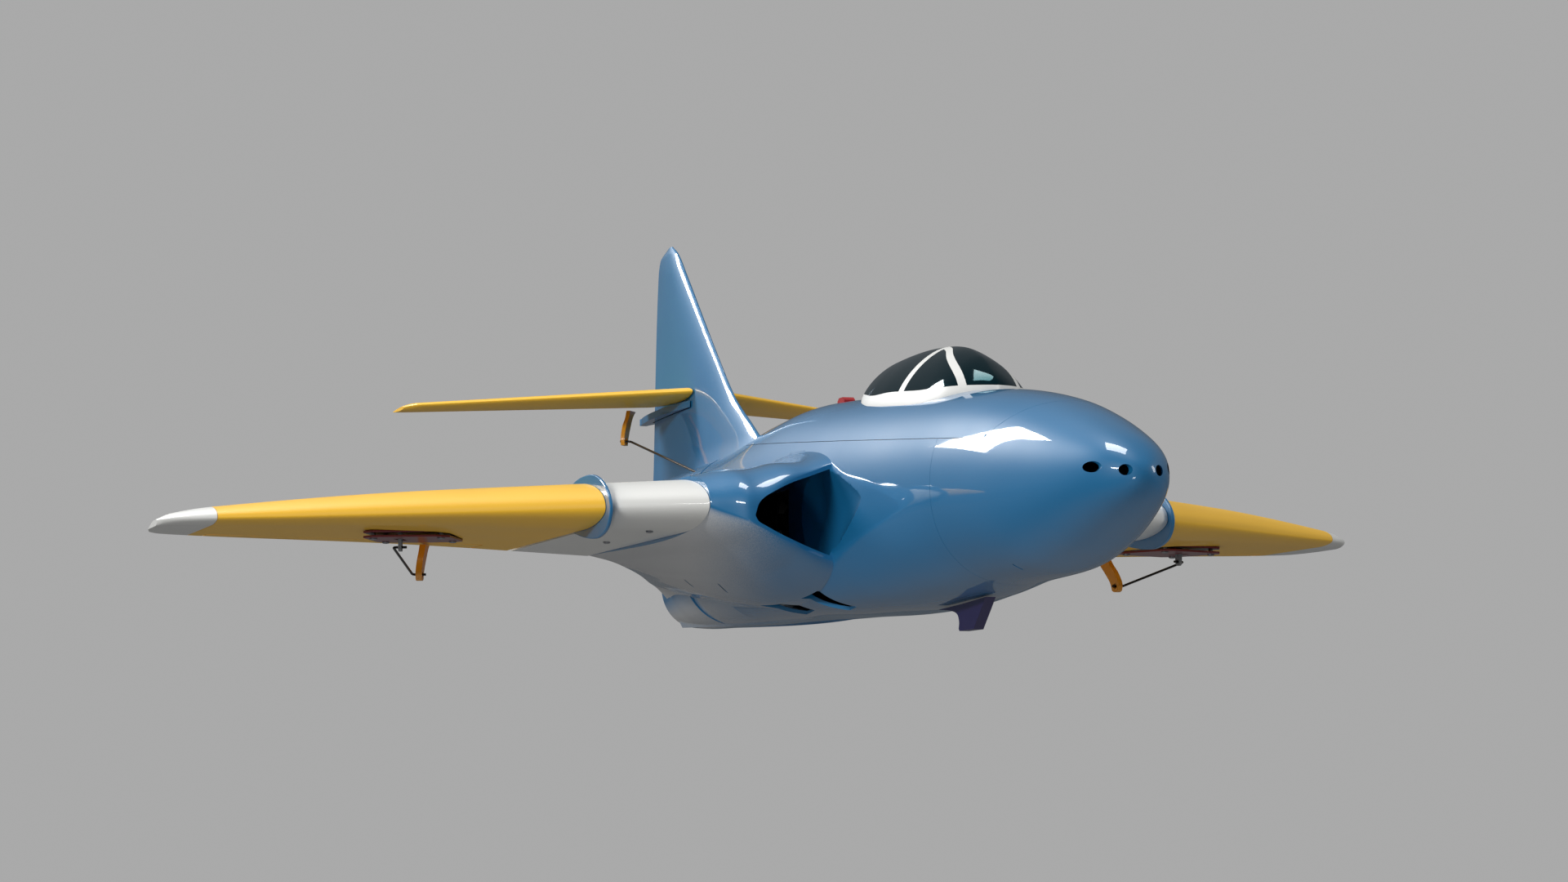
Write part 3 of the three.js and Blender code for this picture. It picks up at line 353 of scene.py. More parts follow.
def material(name, color, rough, coat=0.0, bump=0.02, grain=900.0, mottle=0.06, metal=0.0,
             coat_rough=0.04):
    """Painted or moulded plastic: slight tone mottling, uneven gloss and a fine surface grain."""
    mat = bpy.data.materials.new(name)
    mat.use_nodes = True
    nodes, links = mat.node_tree.nodes, mat.node_tree.links
    shader = nodes["Principled BSDF"]
    shader.inputs["Metallic"].default_value = metal
    shader.inputs["IOR"].default_value = PLASTIC_IOR
    shader.inputs["Coat Weight"].default_value = coat
    shader.inputs["Coat Roughness"].default_value = coat_rough
    where = nodes.new("ShaderNodeTexCoord")
    broad = nodes.new("ShaderNodeTexNoise")
    broad.inputs["Scale"].default_value = 14
    broad.inputs["Detail"].default_value = 3
    tone = nodes.new("ShaderNodeMapRange")
    tone.inputs["To Min"].default_value = 1 - mottle
    tone.inputs["To Max"].default_value = 1 + mottle
    shade = nodes.new("ShaderNodeVectorMath")
    shade.operation = "SCALE"
    shade.inputs[0].default_value = color
    links.new(where.outputs["Object"], broad.inputs["Vector"])
    links.new(broad.outputs["Fac"], tone.inputs["Value"])
    links.new(tone.outputs["Result"], shade.inputs["Scale"])
    links.new(shade.outputs["Vector"], shader.inputs["Base Color"])
    gloss = nodes.new("ShaderNodeMapRange")
    gloss.inputs["To Min"].default_value = rough * (1 - WEAR)
    gloss.inputs["To Max"].default_value = rough * (1 + WEAR * 3)
    links.new(broad.outputs["Fac"], gloss.inputs["Value"])
    links.new(gloss.outputs["Result"], shader.inputs["Roughness"])
    fine = nodes.new("ShaderNodeTexNoise")
    fine.inputs["Scale"].default_value = grain
    fine.inputs["Detail"].default_value = 2
    relief = nodes.new("ShaderNodeBump")
    relief.inputs["Strength"].default_value = bump
    relief.inputs["Distance"].default_value = 0.0004
    links.new(where.outputs["Object"], fine.inputs["Vector"])
    links.new(fine.outputs["Fac"], relief.inputs["Height"])
    links.new(relief.outputs["Normal"], shader.inputs["Normal"])
    return mat


# Fade under the wing roots: distances from the centre line in metres, the surface's facing, how far
# it drifts inward on its way aft, and the scale and spread of its grain.
FADE = dict(reach=(0.04, 0.1), facing=(-0.3, -0.8), aft=0.25, grain=1800, ragged=0.05)


def pale_underside(mat, pale):
    """Sprays a pale, grainy fade under the wing roots, from the body's side outward and aft."""
    nodes, links = mat.node_tree.nodes, mat.node_tree.links
    shader = nodes["Principled BSDF"]
    base = shader.inputs["Base Color"].links[0].from_socket
    where, facing = nodes.new("ShaderNodeTexCoord"), nodes.new("ShaderNodeNewGeometry")
    at, normal = nodes.new("ShaderNodeSeparateXYZ"), nodes.new("ShaderNodeSeparateXYZ")
    links.new(where.outputs["Object"], at.inputs["Vector"])
    links.new(facing.outputs["Normal"], normal.inputs["Vector"])
    grain = nodes.new("ShaderNodeTexNoise")
    grain.inputs["Scale"].default_value = FADE["grain"]
    links.new(where.outputs["Object"], grain.inputs["Vector"])

    def math_node(operation, a, b=None):
        node = nodes.new("ShaderNodeMath")
        node.operation = operation
        for socket, value in zip(node.inputs, (a, b)):
            if isinstance(value, (int, float)):
                socket.default_value = value
            elif value is not None:
                links.new(value, socket)
        return node.outputs["Value"]

    def ramp(value, start, end):
        node = nodes.new("ShaderNodeMapRange")
        node.interpolation_type = "SMOOTHSTEP"
        node.inputs["From Min"].default_value, node.inputs["From Max"].default_value = start, end
        links.new(value, node.inputs["Value"])
        return node.outputs["Result"]

    rough_edge = math_node("MULTIPLY", math_node("SUBTRACT", grain.outputs["Fac"], 0.5), FADE["ragged"])
    outward = math_node("ADD", math_node("ABSOLUTE", at.outputs["X"]), rough_edge)
    reach = math_node("ADD", outward, math_node("MULTIPLY", at.outputs["Y"], FADE["aft"]))
    share = math_node("MULTIPLY", ramp(reach, *FADE["reach"]), ramp(normal.outputs["Z"], *FADE["facing"]))
    mix = nodes.new("ShaderNodeMix")
    mix.data_type = "RGBA"
    links.new(share, mix.inputs["Factor"])
    links.new(base, mix.inputs["A"])
    mix.inputs["B"].default_value = (*pale, 1)
    links.new(mix.outputs["Result"], shader.inputs["Base Color"])
    return mat


def glass_material():
    """Dark, partly clear canopy plastic with cyan glints."""
    mat = material("canopy_glass", srgb(14, 40, 48), 0.04, bump=0.0, mottle=0.02)
    shader = mat.node_tree.nodes["Principled BSDF"]
    shader.inputs["Specular Tint"].default_value = (0.05, 0.8, 0.9, 1)
    shader.inputs["Transmission Weight"].default_value = 0.45
    shader.inputs["IOR"].default_value = 1.35
    return mat


def body_blue(name):
    return material(name, srgb(16, 116, 170), 0.45, coat=1.0, mottle=0.03)


BLUE = body_blue("blue_gloss")
BODY_BLUE = pale_underside(body_blue("blue_gloss_fading"), srgb(222, 224, 226))
YELLOW = material("yellow_gloss", srgb(255, 198, 46), 0.5, coat=0.25, mottle=0.03)
WHITE = material("white_gloss", srgb(232, 232, 228), 0.45, coat=0.3, mottle=0.02)
CRIMSON = material("crimson_plastic", srgb(112, 26, 40), 0.35, coat=0.3, mottle=0.10, grain=500)
AMBER = material("amber_plastic", srgb(232, 156, 36), 0.34, coat=0.3, mottle=0.08, grain=500)
NAVY = material("navy_plastic", srgb(40, 34, 86), 0.38, coat=0.3, mottle=0.08, grain=500)
BLACK = material("black_plastic", srgb(20, 20, 22), 0.45, mottle=0.15, grain=600)
GREY = material("grey_nylon", srgb(140, 143, 146), 0.4, mottle=0.06, grain=400)
RODS = material("black_wire", srgb(22, 20, 20), 0.3, coat=0.2, mottle=0.2, metal=0.6)
CARBON = material("carbon", srgb(46, 32, 24), 0.3, coat=0.6, mottle=0.25, grain=250)
RED = material("latch_red", srgb(176, 30, 34), 0.35, coat=0.3, mottle=0.06)
STEEL = material("screw_steel", srgb(150, 152, 156), 0.3, metal=1.0, mottle=0.05)
MOTOR = material("motor_metal", srgb(180, 182, 186), 0.32, metal=1.0, mottle=0.05)
GREEN = material("circuit_green", srgb(24, 92, 60), 0.4, mottle=0.15)
TRAY = material("tray_plastic", srgb(52, 52, 54), 0.6, mottle=0.08, grain=300)
WRAP = material("battery_wrap", srgb(30, 40, 84), 0.3, coat=0.4, mottle=0.08)
GLASS = glass_material()


# ------------------------------------------------------------------ fuselage
AROUND = 128


def body_ring(table, y, inset):
    reach = math.sqrt(max(y - NOSE_Y, 0))
    stations = [(math.sqrt(row[0] - NOSE_Y),) + tuple(row[1:]) for row in table]
    top = through(stations, reach, 1) - inset
    bottom = through(stations, reach, 2) + inset
    half = through(stations, reach, 3) - inset
    middle = (top + bottom) / 2
    lower_squareness = through(stations, reach, 4)
    ring = []
    for t in turns(AROUND):
        c, s = math.cos(t), math.sin(t)
        power = 2 / (lower_squareness if s < 0 else UPPER_SQUARENESS)
        ring.append((half * math.copysign(abs(c) ** power, c), y,
                     middle + (top - bottom) / 2 * math.copysign(abs(s) ** power, s)))
    return ring


def body_loft(table, start, end, steps, inset):
    power = 1.8 if start < NOSE_SEAM_Y else 1
    ys = [start + (end - start) * (i / steps) ** power for i in range(steps + 1)]
    return loft("body", [body_ring(table, y, inset) for y in ys])


def glove(side, inset, inner_x, outer_x, steps=48):
    """Wing-root glove between two distances from the centre line."""
    def bulge(t, sharpness):
        return math.sin(math.pi * t ** sharpness)

    shares = nose_shares(56)
    rings = []
    for x in spread(inner_x, outer_x, steps):
        value = [through(GLOVE, x, k) if k else x for k in range(9)]
        lead, trail = value[1] + inset, value[2] - 12 * inset
        upper, lower = [], []
        for t in shares:
            low = value[4] * (1 - t) + value[5] * t + value[7] * bulge(t, min(value[8], 0.6)) + inset
            up = value[3] * (1 - t) + value[5] * t + value[6] * bulge(t, value[8]) - inset
            lower.append((t, low))
            upper.append((t, max(up, low + 0.35 + inset * 0.2)))
        rings.append([(side * x, lead + (trail - lead) * t, z) for t, z in upper + lower[::-1]])
    return loft("glove", rings)


def mouth_space(side):
    """Air space of an intake: a shallow scoop in the body side that leads into the duct."""
    shares = [math.sin(math.pi / 2 * i / 40) for i in range(41)]
    body, tip = MOUTH[0][0], MOUTH[-1][0]
    rings = []
    for y in spread(SCOOP[0][0], SCOOP[-1][0], 70):
        height, inner, bow = (through(SCOOP, y, k) for k in (1, 2, 3))

        def at(share, column):
            z = through(MOUTH, body + (tip - body) * share, column)
            return (side * (inner + bow + (tip - inner - bow) * share), y, z * height)

        inner_side = []
        for v in spread(-1, 1, 24)[1:-1]:
            z = ((1 + v) * MOUTH[0][1] + (1 - v) * MOUTH[0][2]) / 2 * height
            inner_side.append((side * (inner + bow * v * v), y, z))
        rings.append([at(t, 1) for t in shares] + [at(t, 2) for t in shares[::-1]] + inner_side)
    return loft("mouth", rings)


def hatch_space(gap):
    """Round-fronted plan above a gently sloping plane."""
    half = HATCH["half"] + 30
    outline = [(-half, HATCH["rear"] - gap), (half, HATCH["rear"] - gap), (half, HATCH["front"] + 20)]
    for i in range(49):
        t = math.pi * i / 48
        outline.append(((HATCH["half"] - gap) * math.cos(t),
                        HATCH["front"] - (HATCH["reach"] - gap) * math.sin(t)))
    outline.append((-half, HATCH["front"] + 20))

    def level(y):
        return HATCH["z"] + HATCH["slope"] * (y + 10) + gap

    above = prism("above", [(-700, level(-700)), (100, level(100)), (100, 140), (-700, 140)],
                  (-100, 0, 0), (0, 1, 0), (0, 0, 1), 200)
    return overlap(plate("plan", outline, 0, 140), above)


def slot_space(side, ends, z0, z1):
    """A narrow upright slot between two plan points."""
    a, b = (Vector((side * x, y)) for x, y in ends)
    across = (b - a).normalized().orthogonal() * SLOT_HALF
    outline = [tuple(p) for p in (a + across, b + across, b - across, a - across)]
    return plate("slot", outline, z0, z1)


def rod_tunnel(side):
    bend = ELEVATOR_ROD["bend"]
    slope = (ELEVATOR_HORN_Z - ELEVATOR_ARM["hole"]) / (ELEVATOR["y"] - bend)

    def at(y):
        return (side * ELEVATOR_ROD["x"], y, ELEVATOR_ARM["hole"] + slope * (y - bend))

    return bar("tunnel", at(ROD_TUNNEL["front"]), at(ROD_TUNNEL["rear"]), ROD_TUNNEL["r"])


def outer_body(inset=0):
    return body_loft(BODY, NOSE_Y + 0.05, TAIL_SEAM_Y, 150, inset)


def inside_body():
    return body_loft(BODY, NOSE_Y + 8, TAIL_SEAM_Y + 5, 60, WALL)


def cut_airways(skin):
    """Each intake's mouth, its duct outside the body's side, and the throat between duct and fan."""
    for _, side in SIDES:
        duct = glove(side, WALL, DUCT["inner"], WING["root"] - WALL, 24)
        overlap(duct, block("behind lip", -130, 130, DUCT["front"], TAIL_SEAM_Y + 10, -70, 70))
        minus(duct, body_loft(BODY, DUCT["front"] - 20, TAIL_SEAM_Y + 5, 40, 0))
        minus(skin, duct, mouth_space(side), sided("throat", side, *THROAT.values()))


def cut_openings(nose, skin):
    """Gun ports, belly vents, narrow slots, chin notch and the holes of the elevator rods."""
    for _, side in SIDES:
        for x, z in PORTS["at"]:
            back, front = (side * x, PORTS["y"], z), (side * x, NOSE_Y - 25, z)
            minus(nose, bar("port", back, front, PORTS["r"]))
        for vent in VENTS:
            minus(skin, plate("vent", [(side * x, y) for x, y in vent], -90, -20))
        minus(skin, *[slot_space(side, ends, -60, -26) for ends in SLOTS])
        minus(nose, slot_space(side, NOTCH, -53, -48.5))
        minus(skin, rod_tunnel(side))


def belly_space(gap):
    half, front, rear = BELLY_HATCH.values()
    return block("belly", gap - half, half - gap, front + gap, rear - gap, -90, -30)


def fuselage():
    skin = union(outer_body(), *[glove(side, 0, 14, WING["root"]) for _, side in SIDES])
    bay = inside_body()
    minus(bay, *[sided("liner", side, *LINER.values()) for _, side in SIDES])
    minus(skin, bay)
    cut_airways(skin)
    minus(skin, hatch_space(0))
    nose = copy(skin, "nose")
    overlap(nose, block("ahead", -80, 80, -700, NOSE_SEAM_Y - GAP, -90, 90))
    overlap(skin, block("behind", -200, 200, NOSE_SEAM_Y, TAIL_SEAM_Y - GAP, -90, 90))
    cut_openings(nose, skin)
    cover = overlap(copy(skin, "cover"), belly_space(GAP))
    minus(skin, belly_space(0))
    dress(nose, "nose_shell", "airframe", BLUE, ["nose_cone"])
    dress(skin, "centre_shell", "airframe", BODY_BLUE, ["fuselage_centre"])
    dress(cover, "belly_cover", "belly_hatch", BLUE, ["belly_hatch"])


def hatch_lid():
    lid = minus(outer_body(), inside_body())
    overlap(lid, hatch_space(GAP))
    minus(lid, canopy_solid(GAP, 20))
    dress(lid, "hatch_lid", "hatch", BLUE, ["hatch_shell"])


def tail_solid(inset, extra=0):
    nozzle = body_loft(NOZZLE, TAIL_SEAM_Y - extra, NOZZLE[-1][0] + extra, 24, inset)
    return union(nozzle, body_loft(BOOM, TAIL_SEAM_Y - extra, BOOM_END_Y - inset * 2, 60, inset))


FIN_LEAD = [(50, -8), (62, 20), (78, 51), (99, 91), (129, 131), (200, 219), (215, 238), (221.5, 252)]
FIN_TRAIL = [(50, 301), (125, 297), (205, 289), (215, 284), (221.5, 262)]
FIN_THICK = [(50, 26), (58, 19.5), (70, 14.5), (100, 11), (200, 7), (216, 4.5), (221.5, 1.5)]


def symmetric_section(chord, thick):
    def half(t):
        nose = math.sqrt(max(1 - (1 - t / 0.3) ** 2, 0))
        return thick / 2 * (nose if t < 0.3 else 1 - 0.92 * ((t - 0.3) / 0.7) ** 1.7)

    shares = nose_shares(40)
    return [(chord * t, half(t)) for t in shares] + [(chord * t, -half(t)) for t in shares[:0:-1]]


def tail():
    skin = tail_solid(0)
    union(skin, *[glove(side, 0, 14, WING["root"]) for _, side in SIDES])
    overlap(skin, block("behind", -200, 200, TAIL_SEAM_Y, 400, -90, 90))
    hollow = tail_solid(WALL, 3)
    union(hollow, *[glove(side, WALL, 30, 120, 24) for _, side in SIDES])
    minus(skin, hollow)
    for _, side in SIDES:
        minus(skin, rod_tunnel(side))
    dress(skin, "tail_shell", "airframe", BODY_BLUE, ["tail_section"])

    rings = []
    for z in spread(50, 200, 60) + spread(201, 221.5, 30):
        y0, y1, t = through(FIN_LEAD, z), through(FIN_TRAIL, z), through(FIN_THICK, z)
        rings.append([(x, y0 + y, z) for y, x in symmetric_section(y1 - y0, t)])
    fin = loft("fin", rings)
    minus(fin, tail_solid(-0.05), body_loft(BODY, -60, TAIL_SEAM_Y + 0.5, 20, -0.05))
    dress(fin, "fin_skin", "airframe", BLUE, ["vertical_fin"])

    plan = [(8.5 * math.sin(math.pi * min(0.97, 0.1 + 0.9 * i / 48)) ** 0.6 + 0.6, 172 + 160 * i / 48)
            for i in range(49)]
    saddle = plate("saddle", plan + [(-x, y) for x, y in plan[::-1]], 101, 105.8)
    minus(saddle, loft("slot", [[(x, 84 + y, z) for y, x in symmetric_section(220, 13)] for z in (90, 120)]))
    dress(round_edges(saddle, 0.8), "saddle_fairing", "airframe", BLUE, ["stab_saddle"])


# ------------------------------------------------------------------ wings
def wing_lead(x):
    if x <= WING["cap"]:
        return WING["lead"] + WING["slope"] * (x - WING["root"])
    return through([(371, -51.5), (390, -26), (398, -8), (400, 3)], x)


WING_TRAIL = [(127, -13), (246, 27), (371, 68), (388, 71), (396, 62), (400, 40)]
WING_FLAT = [(127, -15.8), (246, -7.6), (371, -2), (400, -0.5)]
WING_LEAD_Z = [(127, -3.5), (371, 1.3), (400, 2.5)]
ROOT_SCREWS = dict(x=145, y=(-234, -132), r=2.2)
WING_TOP = [(127, 16.5), (250, 15.6), (371, 10), (392, 7), (400, 3.6)]


def wing_ring(side, x, inset=0.0):
    """Flat-bottomed section: a quarter-ellipse nose running into a flat lower side."""
    lead, trail = wing_lead(x) + inset * 2, through(WING_TRAIL, x) - inset * 9
    flat, nose_z = through(WING_FLAT, x) + inset, through(WING_LEAD_Z, x)
    crest = through(WING_TOP, x) - inset
    start = (nose_z - flat) / (crest - flat)

    def upper(t):
        nose = math.sqrt(max(1 - (1 - t / 0.3) ** 2, 0))
        return start + (1 - start) * nose if t < 0.3 else 1 - 0.97 * ((t - 0.3) / 0.7) ** 1.9

    def lower(t):
        return 1 - math.sqrt(max(1 - (1 - t / 0.2) ** 2, 0)) if t < 0.2 else 0

    shares = nose_shares(60)
    ring = [(t, flat + (crest - flat) * upper(t)) for t in shares]
    ring += [(t, flat + (nose_z - flat) * lower(t)) for t in shares[:0:-1]]
    return [(side * x, lead + (trail - lead) * t, z) for t, z in ring]


def wing_loft(side, xs, inset=0.0):
    return loft("wing", [wing_ring(side, x, inset) for x in xs])


def hinge_point(side, hinge, u, v, z):
    c, s = math.cos(math.radians(hinge["sweep"])), math.sin(math.radians(hinge["sweep"]))
    return (side * (hinge["x"] + u * c - v * s), hinge["y"] + u * s + v * c, z)


def hinge_aft(side, hinge):
    sweep = math.radians(hinge["sweep"])
    return (-side * math.sin(sweep), math.cos(sweep), 0)


def hinge_plate(name, side, hinge, outline, z0, z1):
    return plate(name, [hinge_point(side, hinge, u, v, 0)[:2] for u, v in outline], z0, z1)


def cross_plate(name, side, hinge, outline, u0, u1):
    start = hinge_point(side, hinge, u0 if side > 0 else u1, 0, 0)
    return prism(name, outline, start, hinge_aft(side, hinge), (0, 0, 1), u1 - u0)


def cross_bar(name, side, hinge, u0, u1, v, z, radius):
    start, end = (hinge_point(side, hinge, u, v, z) for u in (u0, u1))
    return bar(name, start, end, radius)


def surface_space(side, hinge, gap, nose=None):
    """Everything aft of a hinge between its surface's ends, with a shallow V nose."""
    nose = gap if nose is None else nose
    back = nose + (22 * 0.34 if gap > 0 else 0)
    z = hinge["z"]
    outline = [(nose, z), (back, z - 22), (110, z - 22), (110, z + 22), (back, z + 22)]
    length = (hinge["outer"] - hinge["inner"]) / math.cos(math.radians(hinge["sweep"]))
    far = cross_plate("space", side, hinge, outline, -length, length * 1.3)
    return overlap(far, sided("ends", side, hinge["inner"] + gap, hinge["outer"] - gap, -150, 450, -60, 160))


def plate_outline(grow=0.0):
    a, b = PLATE["u0"] - grow, PLATE["u1"] + grow
    p, q, c = PLATE["v0"] - grow, PLATE["v1"] + grow, PLATE["chamfer"]
    return [(a + c, p), (b - c, p), (b, p + c), (b, q - c), (b - c, q), (a + c, q), (a, q - c), (a, p + c)]


def wing(name, side):
    root = wing_loft(side, [WING["root"] + GAP, 150, WING["fence"] - FENCE_THICK / 2 - GAP])
    minus(root, wing_loft(side, [WING["root"] - 1, WING["fence"] + 1], SKIN))
    dress(root, f"root_panel_{name}", "airframe", WHITE, [f"wing_root_panel_{name}"])

    for i, y in enumerate(ROOT_SCREWS["y"]):
        x = ROOT_SCREWS["x"]
        at = (side * x, y, through(WING_FLAT, x) - CLEAR)
        screw(f"root_screw_{name}_{i}", at, ROOT_SCREWS["r"], "airframe")

    crest = smooth_line([(-150, 14), (-185, 19.5), (-221, 19), (-248, 10.5), (-261, -2), (-254, -14),
                         (-232, -19), (-200, -17), (-172, -12.5)], 8)
    fence = side_plate("fence", crest, side * WING["fence"], FENCE_THICK)
    dress(round_edges(fence, 0.6, 3), f"fence_{name}", "airframe", BLUE, [f"wing_fence_{name}"])

    outer = wing_loft(side, spread(WING["fence"] + FENCE_THICK / 2 + GAP, WING["cap"] - GAP, 30))
    surface = overlap(copy(outer, "surface"), surface_space(side, AILERON, 0.7))
    minus(outer, surface_space(side, AILERON, 0, 0))
    recess_top = PLATE["tray"] + PLATE["thick"] + GAP
    minus(outer, hinge_plate("recess", side, AILERON, plate_outline(GAP), -30, recess_top))
    dress(outer, f"wing_panel_{name}", "airframe", YELLOW, [f"wing_outer_{name}"])
    dress(round_edges(surface, 0.3, 2), f"aileron_skin_{name}", f"aileron_{name}", YELLOW,
          [f"aileron_{name}"])

    cap = wing_loft(side, spread(WING["cap"], 388, 12) + spread(388.5, 398, 16) + spread(398.2, 400, 8))
    dress(cap, f"tip_cap_{name}", "airframe", WHITE, [f"wing_tip_{name}"])


SCREW_HEAD = ((1, 0), (1, 0.5), (0.75, 1.0), (0.3, 1.15))   # share of the radius, depth


def screw(name, at, radius, body):
    """Pan-head screw with a cross slot, seen from below."""
    x, y, z = at
    head = loft("head", [[(x + radius * share * math.cos(t), y + radius * share * math.sin(t), z - depth)
                          for t in turns(24)] for share, depth in SCREW_HEAD])
    long, half = radius * 0.6, 0.25
    outline = [(-long, -half), (long, -half), (long, half), (-long, half)]
    for turn in (0.4, 0.4 + math.pi / 2):
        c, s = math.cos(turn), math.sin(turn)
        minus(head, prism("slot", outline, (x, y, z - 2), (c, s, 0), (-s, c, 0), 1.4))
    dress(head, name, body, STEEL)


def aileron_drive(name, side):
    arm, hinge = AILERON_ARM, AILERON
    u, v = arm["u"], arm["v"]
    slot_shape = [(u - 2.5, v - 8.5), (u + 2.5, v - 8.5), (u + 2.5, v + 8.5), (u - 2.5, v + 8.5)]
    for part, z in (("tray", PLATE["tray"]), ("cover", PLATE["cover"])):
        piece = hinge_plate(part, side, hinge, plate_outline(), z, z + PLATE["thick"])
        minus(piece, hinge_plate("slot", side, hinge, slot_shape, -30, 0))
        round_edges(piece, 0.3)
        dress(piece, f"servo_{part}_plate_{name}", "airframe", CRIMSON,
              [f"servo_{part}_{name}"])
    for i, (pu, pv) in enumerate([(a, b) for a in (PLATE["u0"] + 6, PLATE["u1"] - 6)
                                  for b in (PLATE["v0"] + 9, PLATE["v1"] - 9)]):
        low = hinge_point(side, hinge, pu, pv, PLATE["cover"] + PLATE["thick"] + CLEAR)
        high = hinge_point(side, hinge, pu, pv, PLATE["tray"] - CLEAR)
        dress(bar("post", low, high, 1.5), f"cover_post_{name}_{i}", "airframe", STEEL)
        foot = hinge_point(side, hinge, pu, pv, PLATE["cover"] - CLEAR)
        screw(f"cover_screw_{name}_{i}", foot, 2.4, "airframe")

    shape = [(v - 3, arm["pivot"] + 3), (v - 2, arm["hole"] - 1.6), (v - 1, arm["hole"] - 2.6),
             (v + 1, arm["hole"] - 2.6), (v + 2, arm["hole"] - 1.6), (v + 3, arm["pivot"] + 3)]
    lever = cross_plate("lever", side, hinge, shape, u - 1, u + 1)
    for z, r in ((arm["hole"], ROD_R + GAP), (arm["hole"] + 4, 0.6), (arm["hole"] + 7, 0.6)):
        minus(lever, cross_bar("hole", side, hinge, u - 5, u + 5, v, z, r))
    dress(round_edges(lever, 0.25), f"servo_lever_{name}", f"aileron_arm_{name}", GREY,
          [f"aileron_servo_arm_{name}"])

    ends = [(u - 4, v, arm["hole"]), (u + 4.5, v, arm["hole"]), (u + 4.5, 0, AILERON_HORN_Z),
            (u - 4, 0, AILERON_HORN_Z)]
    rod = tube_path("rod", [hinge_point(side, hinge, *end) for end in ends], ROD_R, ROD_BEND)
    dress(rod, f"aileron_wire_{name}", f"aileron_rod_{name}", RODS, [f"aileron_pushrod_{name}"])

    curve = smooth_line([(8.5, -9.4), (5, -14.6), (0.5, -20), (-3.2, -27), (-2.8, -32.0)], 6)
    back = smooth_line([(2.8, -32.0), (5, -26), (12.5, -16.5), (16.5, -12.2), (20, -9.4)], 6)
    horn = cross_plate("horn", side, hinge, curve + [(-1.2, -33), (1.2, -33)] + back, u - 2, u + 2)
    minus(horn, cross_bar("hole", side, hinge, u - 6, u + 6, 0, AILERON_HORN_Z, ROD_R + 0.95))
    dress(round_edges(horn, 0.4), f"aileron_horn_blade_{name}", f"aileron_{name}", AMBER,
          [f"aileron_horn_{name}"])


# ------------------------------------------------------------------ tail surfaces
def stab_ring(side, x):
    share = (x - STAB["root"]) / (STAB["tip"] - STAB["root"])
    lead = STAB["lead"][0] + (STAB["lead"][1] - STAB["lead"][0]) * share
    trail = STAB["trail"][0] + (STAB["trail"][1] - STAB["trail"][0]) * share
    round_off = max(0.0, (x - 165) / (STAB["tip"] - 165))
    lead += 14 * round_off ** 2.4
    thick = (9 - 4 * share) * math.sqrt(max(1 - 0.75 * round_off ** 2, 0))
    return [(side * x, lead + y, STAB["z"] + z) for y, z in symmetric_section(trail - lead, thick)]


def tail_plane(name, side):
    xs = spread(STAB["root"], 160, 20) + spread(161, STAB["tip"], 16)
    whole = loft("stab", [stab_ring(side, x) for x in xs])
    surface = overlap(copy(whole, "surface"), surface_space(side, ELEVATOR, 0.7))
    minus(whole, surface_space(side, ELEVATOR, 0, 0))
    dress(whole, f"stab_skin_{name}", "airframe", YELLOW, [f"stabilizer_{name}"])
    dress(round_edges(surface, 0.25), f"elevator_skin_{name}", f"elevator_{name}", YELLOW,
          [f"elevator_{name}"])
    z = ELEVATOR_HORN_Z
    front = smooth_line([(8, 106.6), (4.6, 100.5), (-0.5, 95), (-4, z + 2), (-3.2, z - 3)], 6)
    back = smooth_line([(3.2, z - 3), (5, z + 3), (10, 96.5), (14.5, 102.5), (20, 106.6)], 6)
    horn = cross_plate("horn", side, ELEVATOR, front + back, -1.5, 1.5)
    minus(horn, cross_bar("hole", side, ELEVATOR, -6, 6, 0, z, 2.4))
    dress(round_edges(horn, 0.4), f"elevator_horn_blade_{name}", f"elevator_{name}", AMBER,
          [f"elevator_horn_{name}"])
    arm = ELEVATOR_ARM
    x, end = side * ELEVATOR_ROD["x"], side * ELEVATOR_ROD["end"]
    path = [(end, arm["y"], arm["hole"]), (x, arm["y"], arm["hole"]), (x, ELEVATOR_ROD["bend"], arm["hole"]),
            (x, ELEVATOR["y"], z), (end, ELEVATOR["y"], z)]
    rod = tube_path("rod", path, ROD_R, ROD_BEND)
    dress(rod, f"elevator_wire_{name}", f"elevator_rod_{name}", CARBON,
          [f"elevator_pushrod_{name}"])


# ------------------------------------------------------------------ canopy
CANOPY_BASE = [(-443, 50), (-430, 50), (-395, 48), (-364, 49.5), (-335, 52), (-305, 54.5), (-278, 58.5),
               (-250, 62.5), (-206, 67)]
CANOPY_TOP = [(-443, 54), (-438, 60), (-428, 67), (-410, 76), (-382, 83.5), (-355, 86.3), (-320, 87.6),
              (-278, 86.6), (-254, 84), (-234, 79.5), (-218, 74.5), (-206, 69)]
CANOPY_HALF = [(-443, 2), (-438, 11), (-430, 18.5), (-418, 26), (-395, 31.3), (-364, 33), (-335, 33.2),
               (-305, 32), (-278, 27.5), (-250, 19.5), (-225, 10.5), (-206, 2)]
RAIL_RISE = [(-443, 6), (-420, 7), (-395, 9), (-355, 9.5), (-305, 7.5), (-250, 6), (-206, 4)]
# A windscreen post seen from above.
POST = [(3, -358), (6, -374), (11.5, -392), (15, -412), (17.5, -440)]
CANOPY_WALL = 1.6
PEAK = 1.32             # of the canopy's section: 1 makes it an ellipse


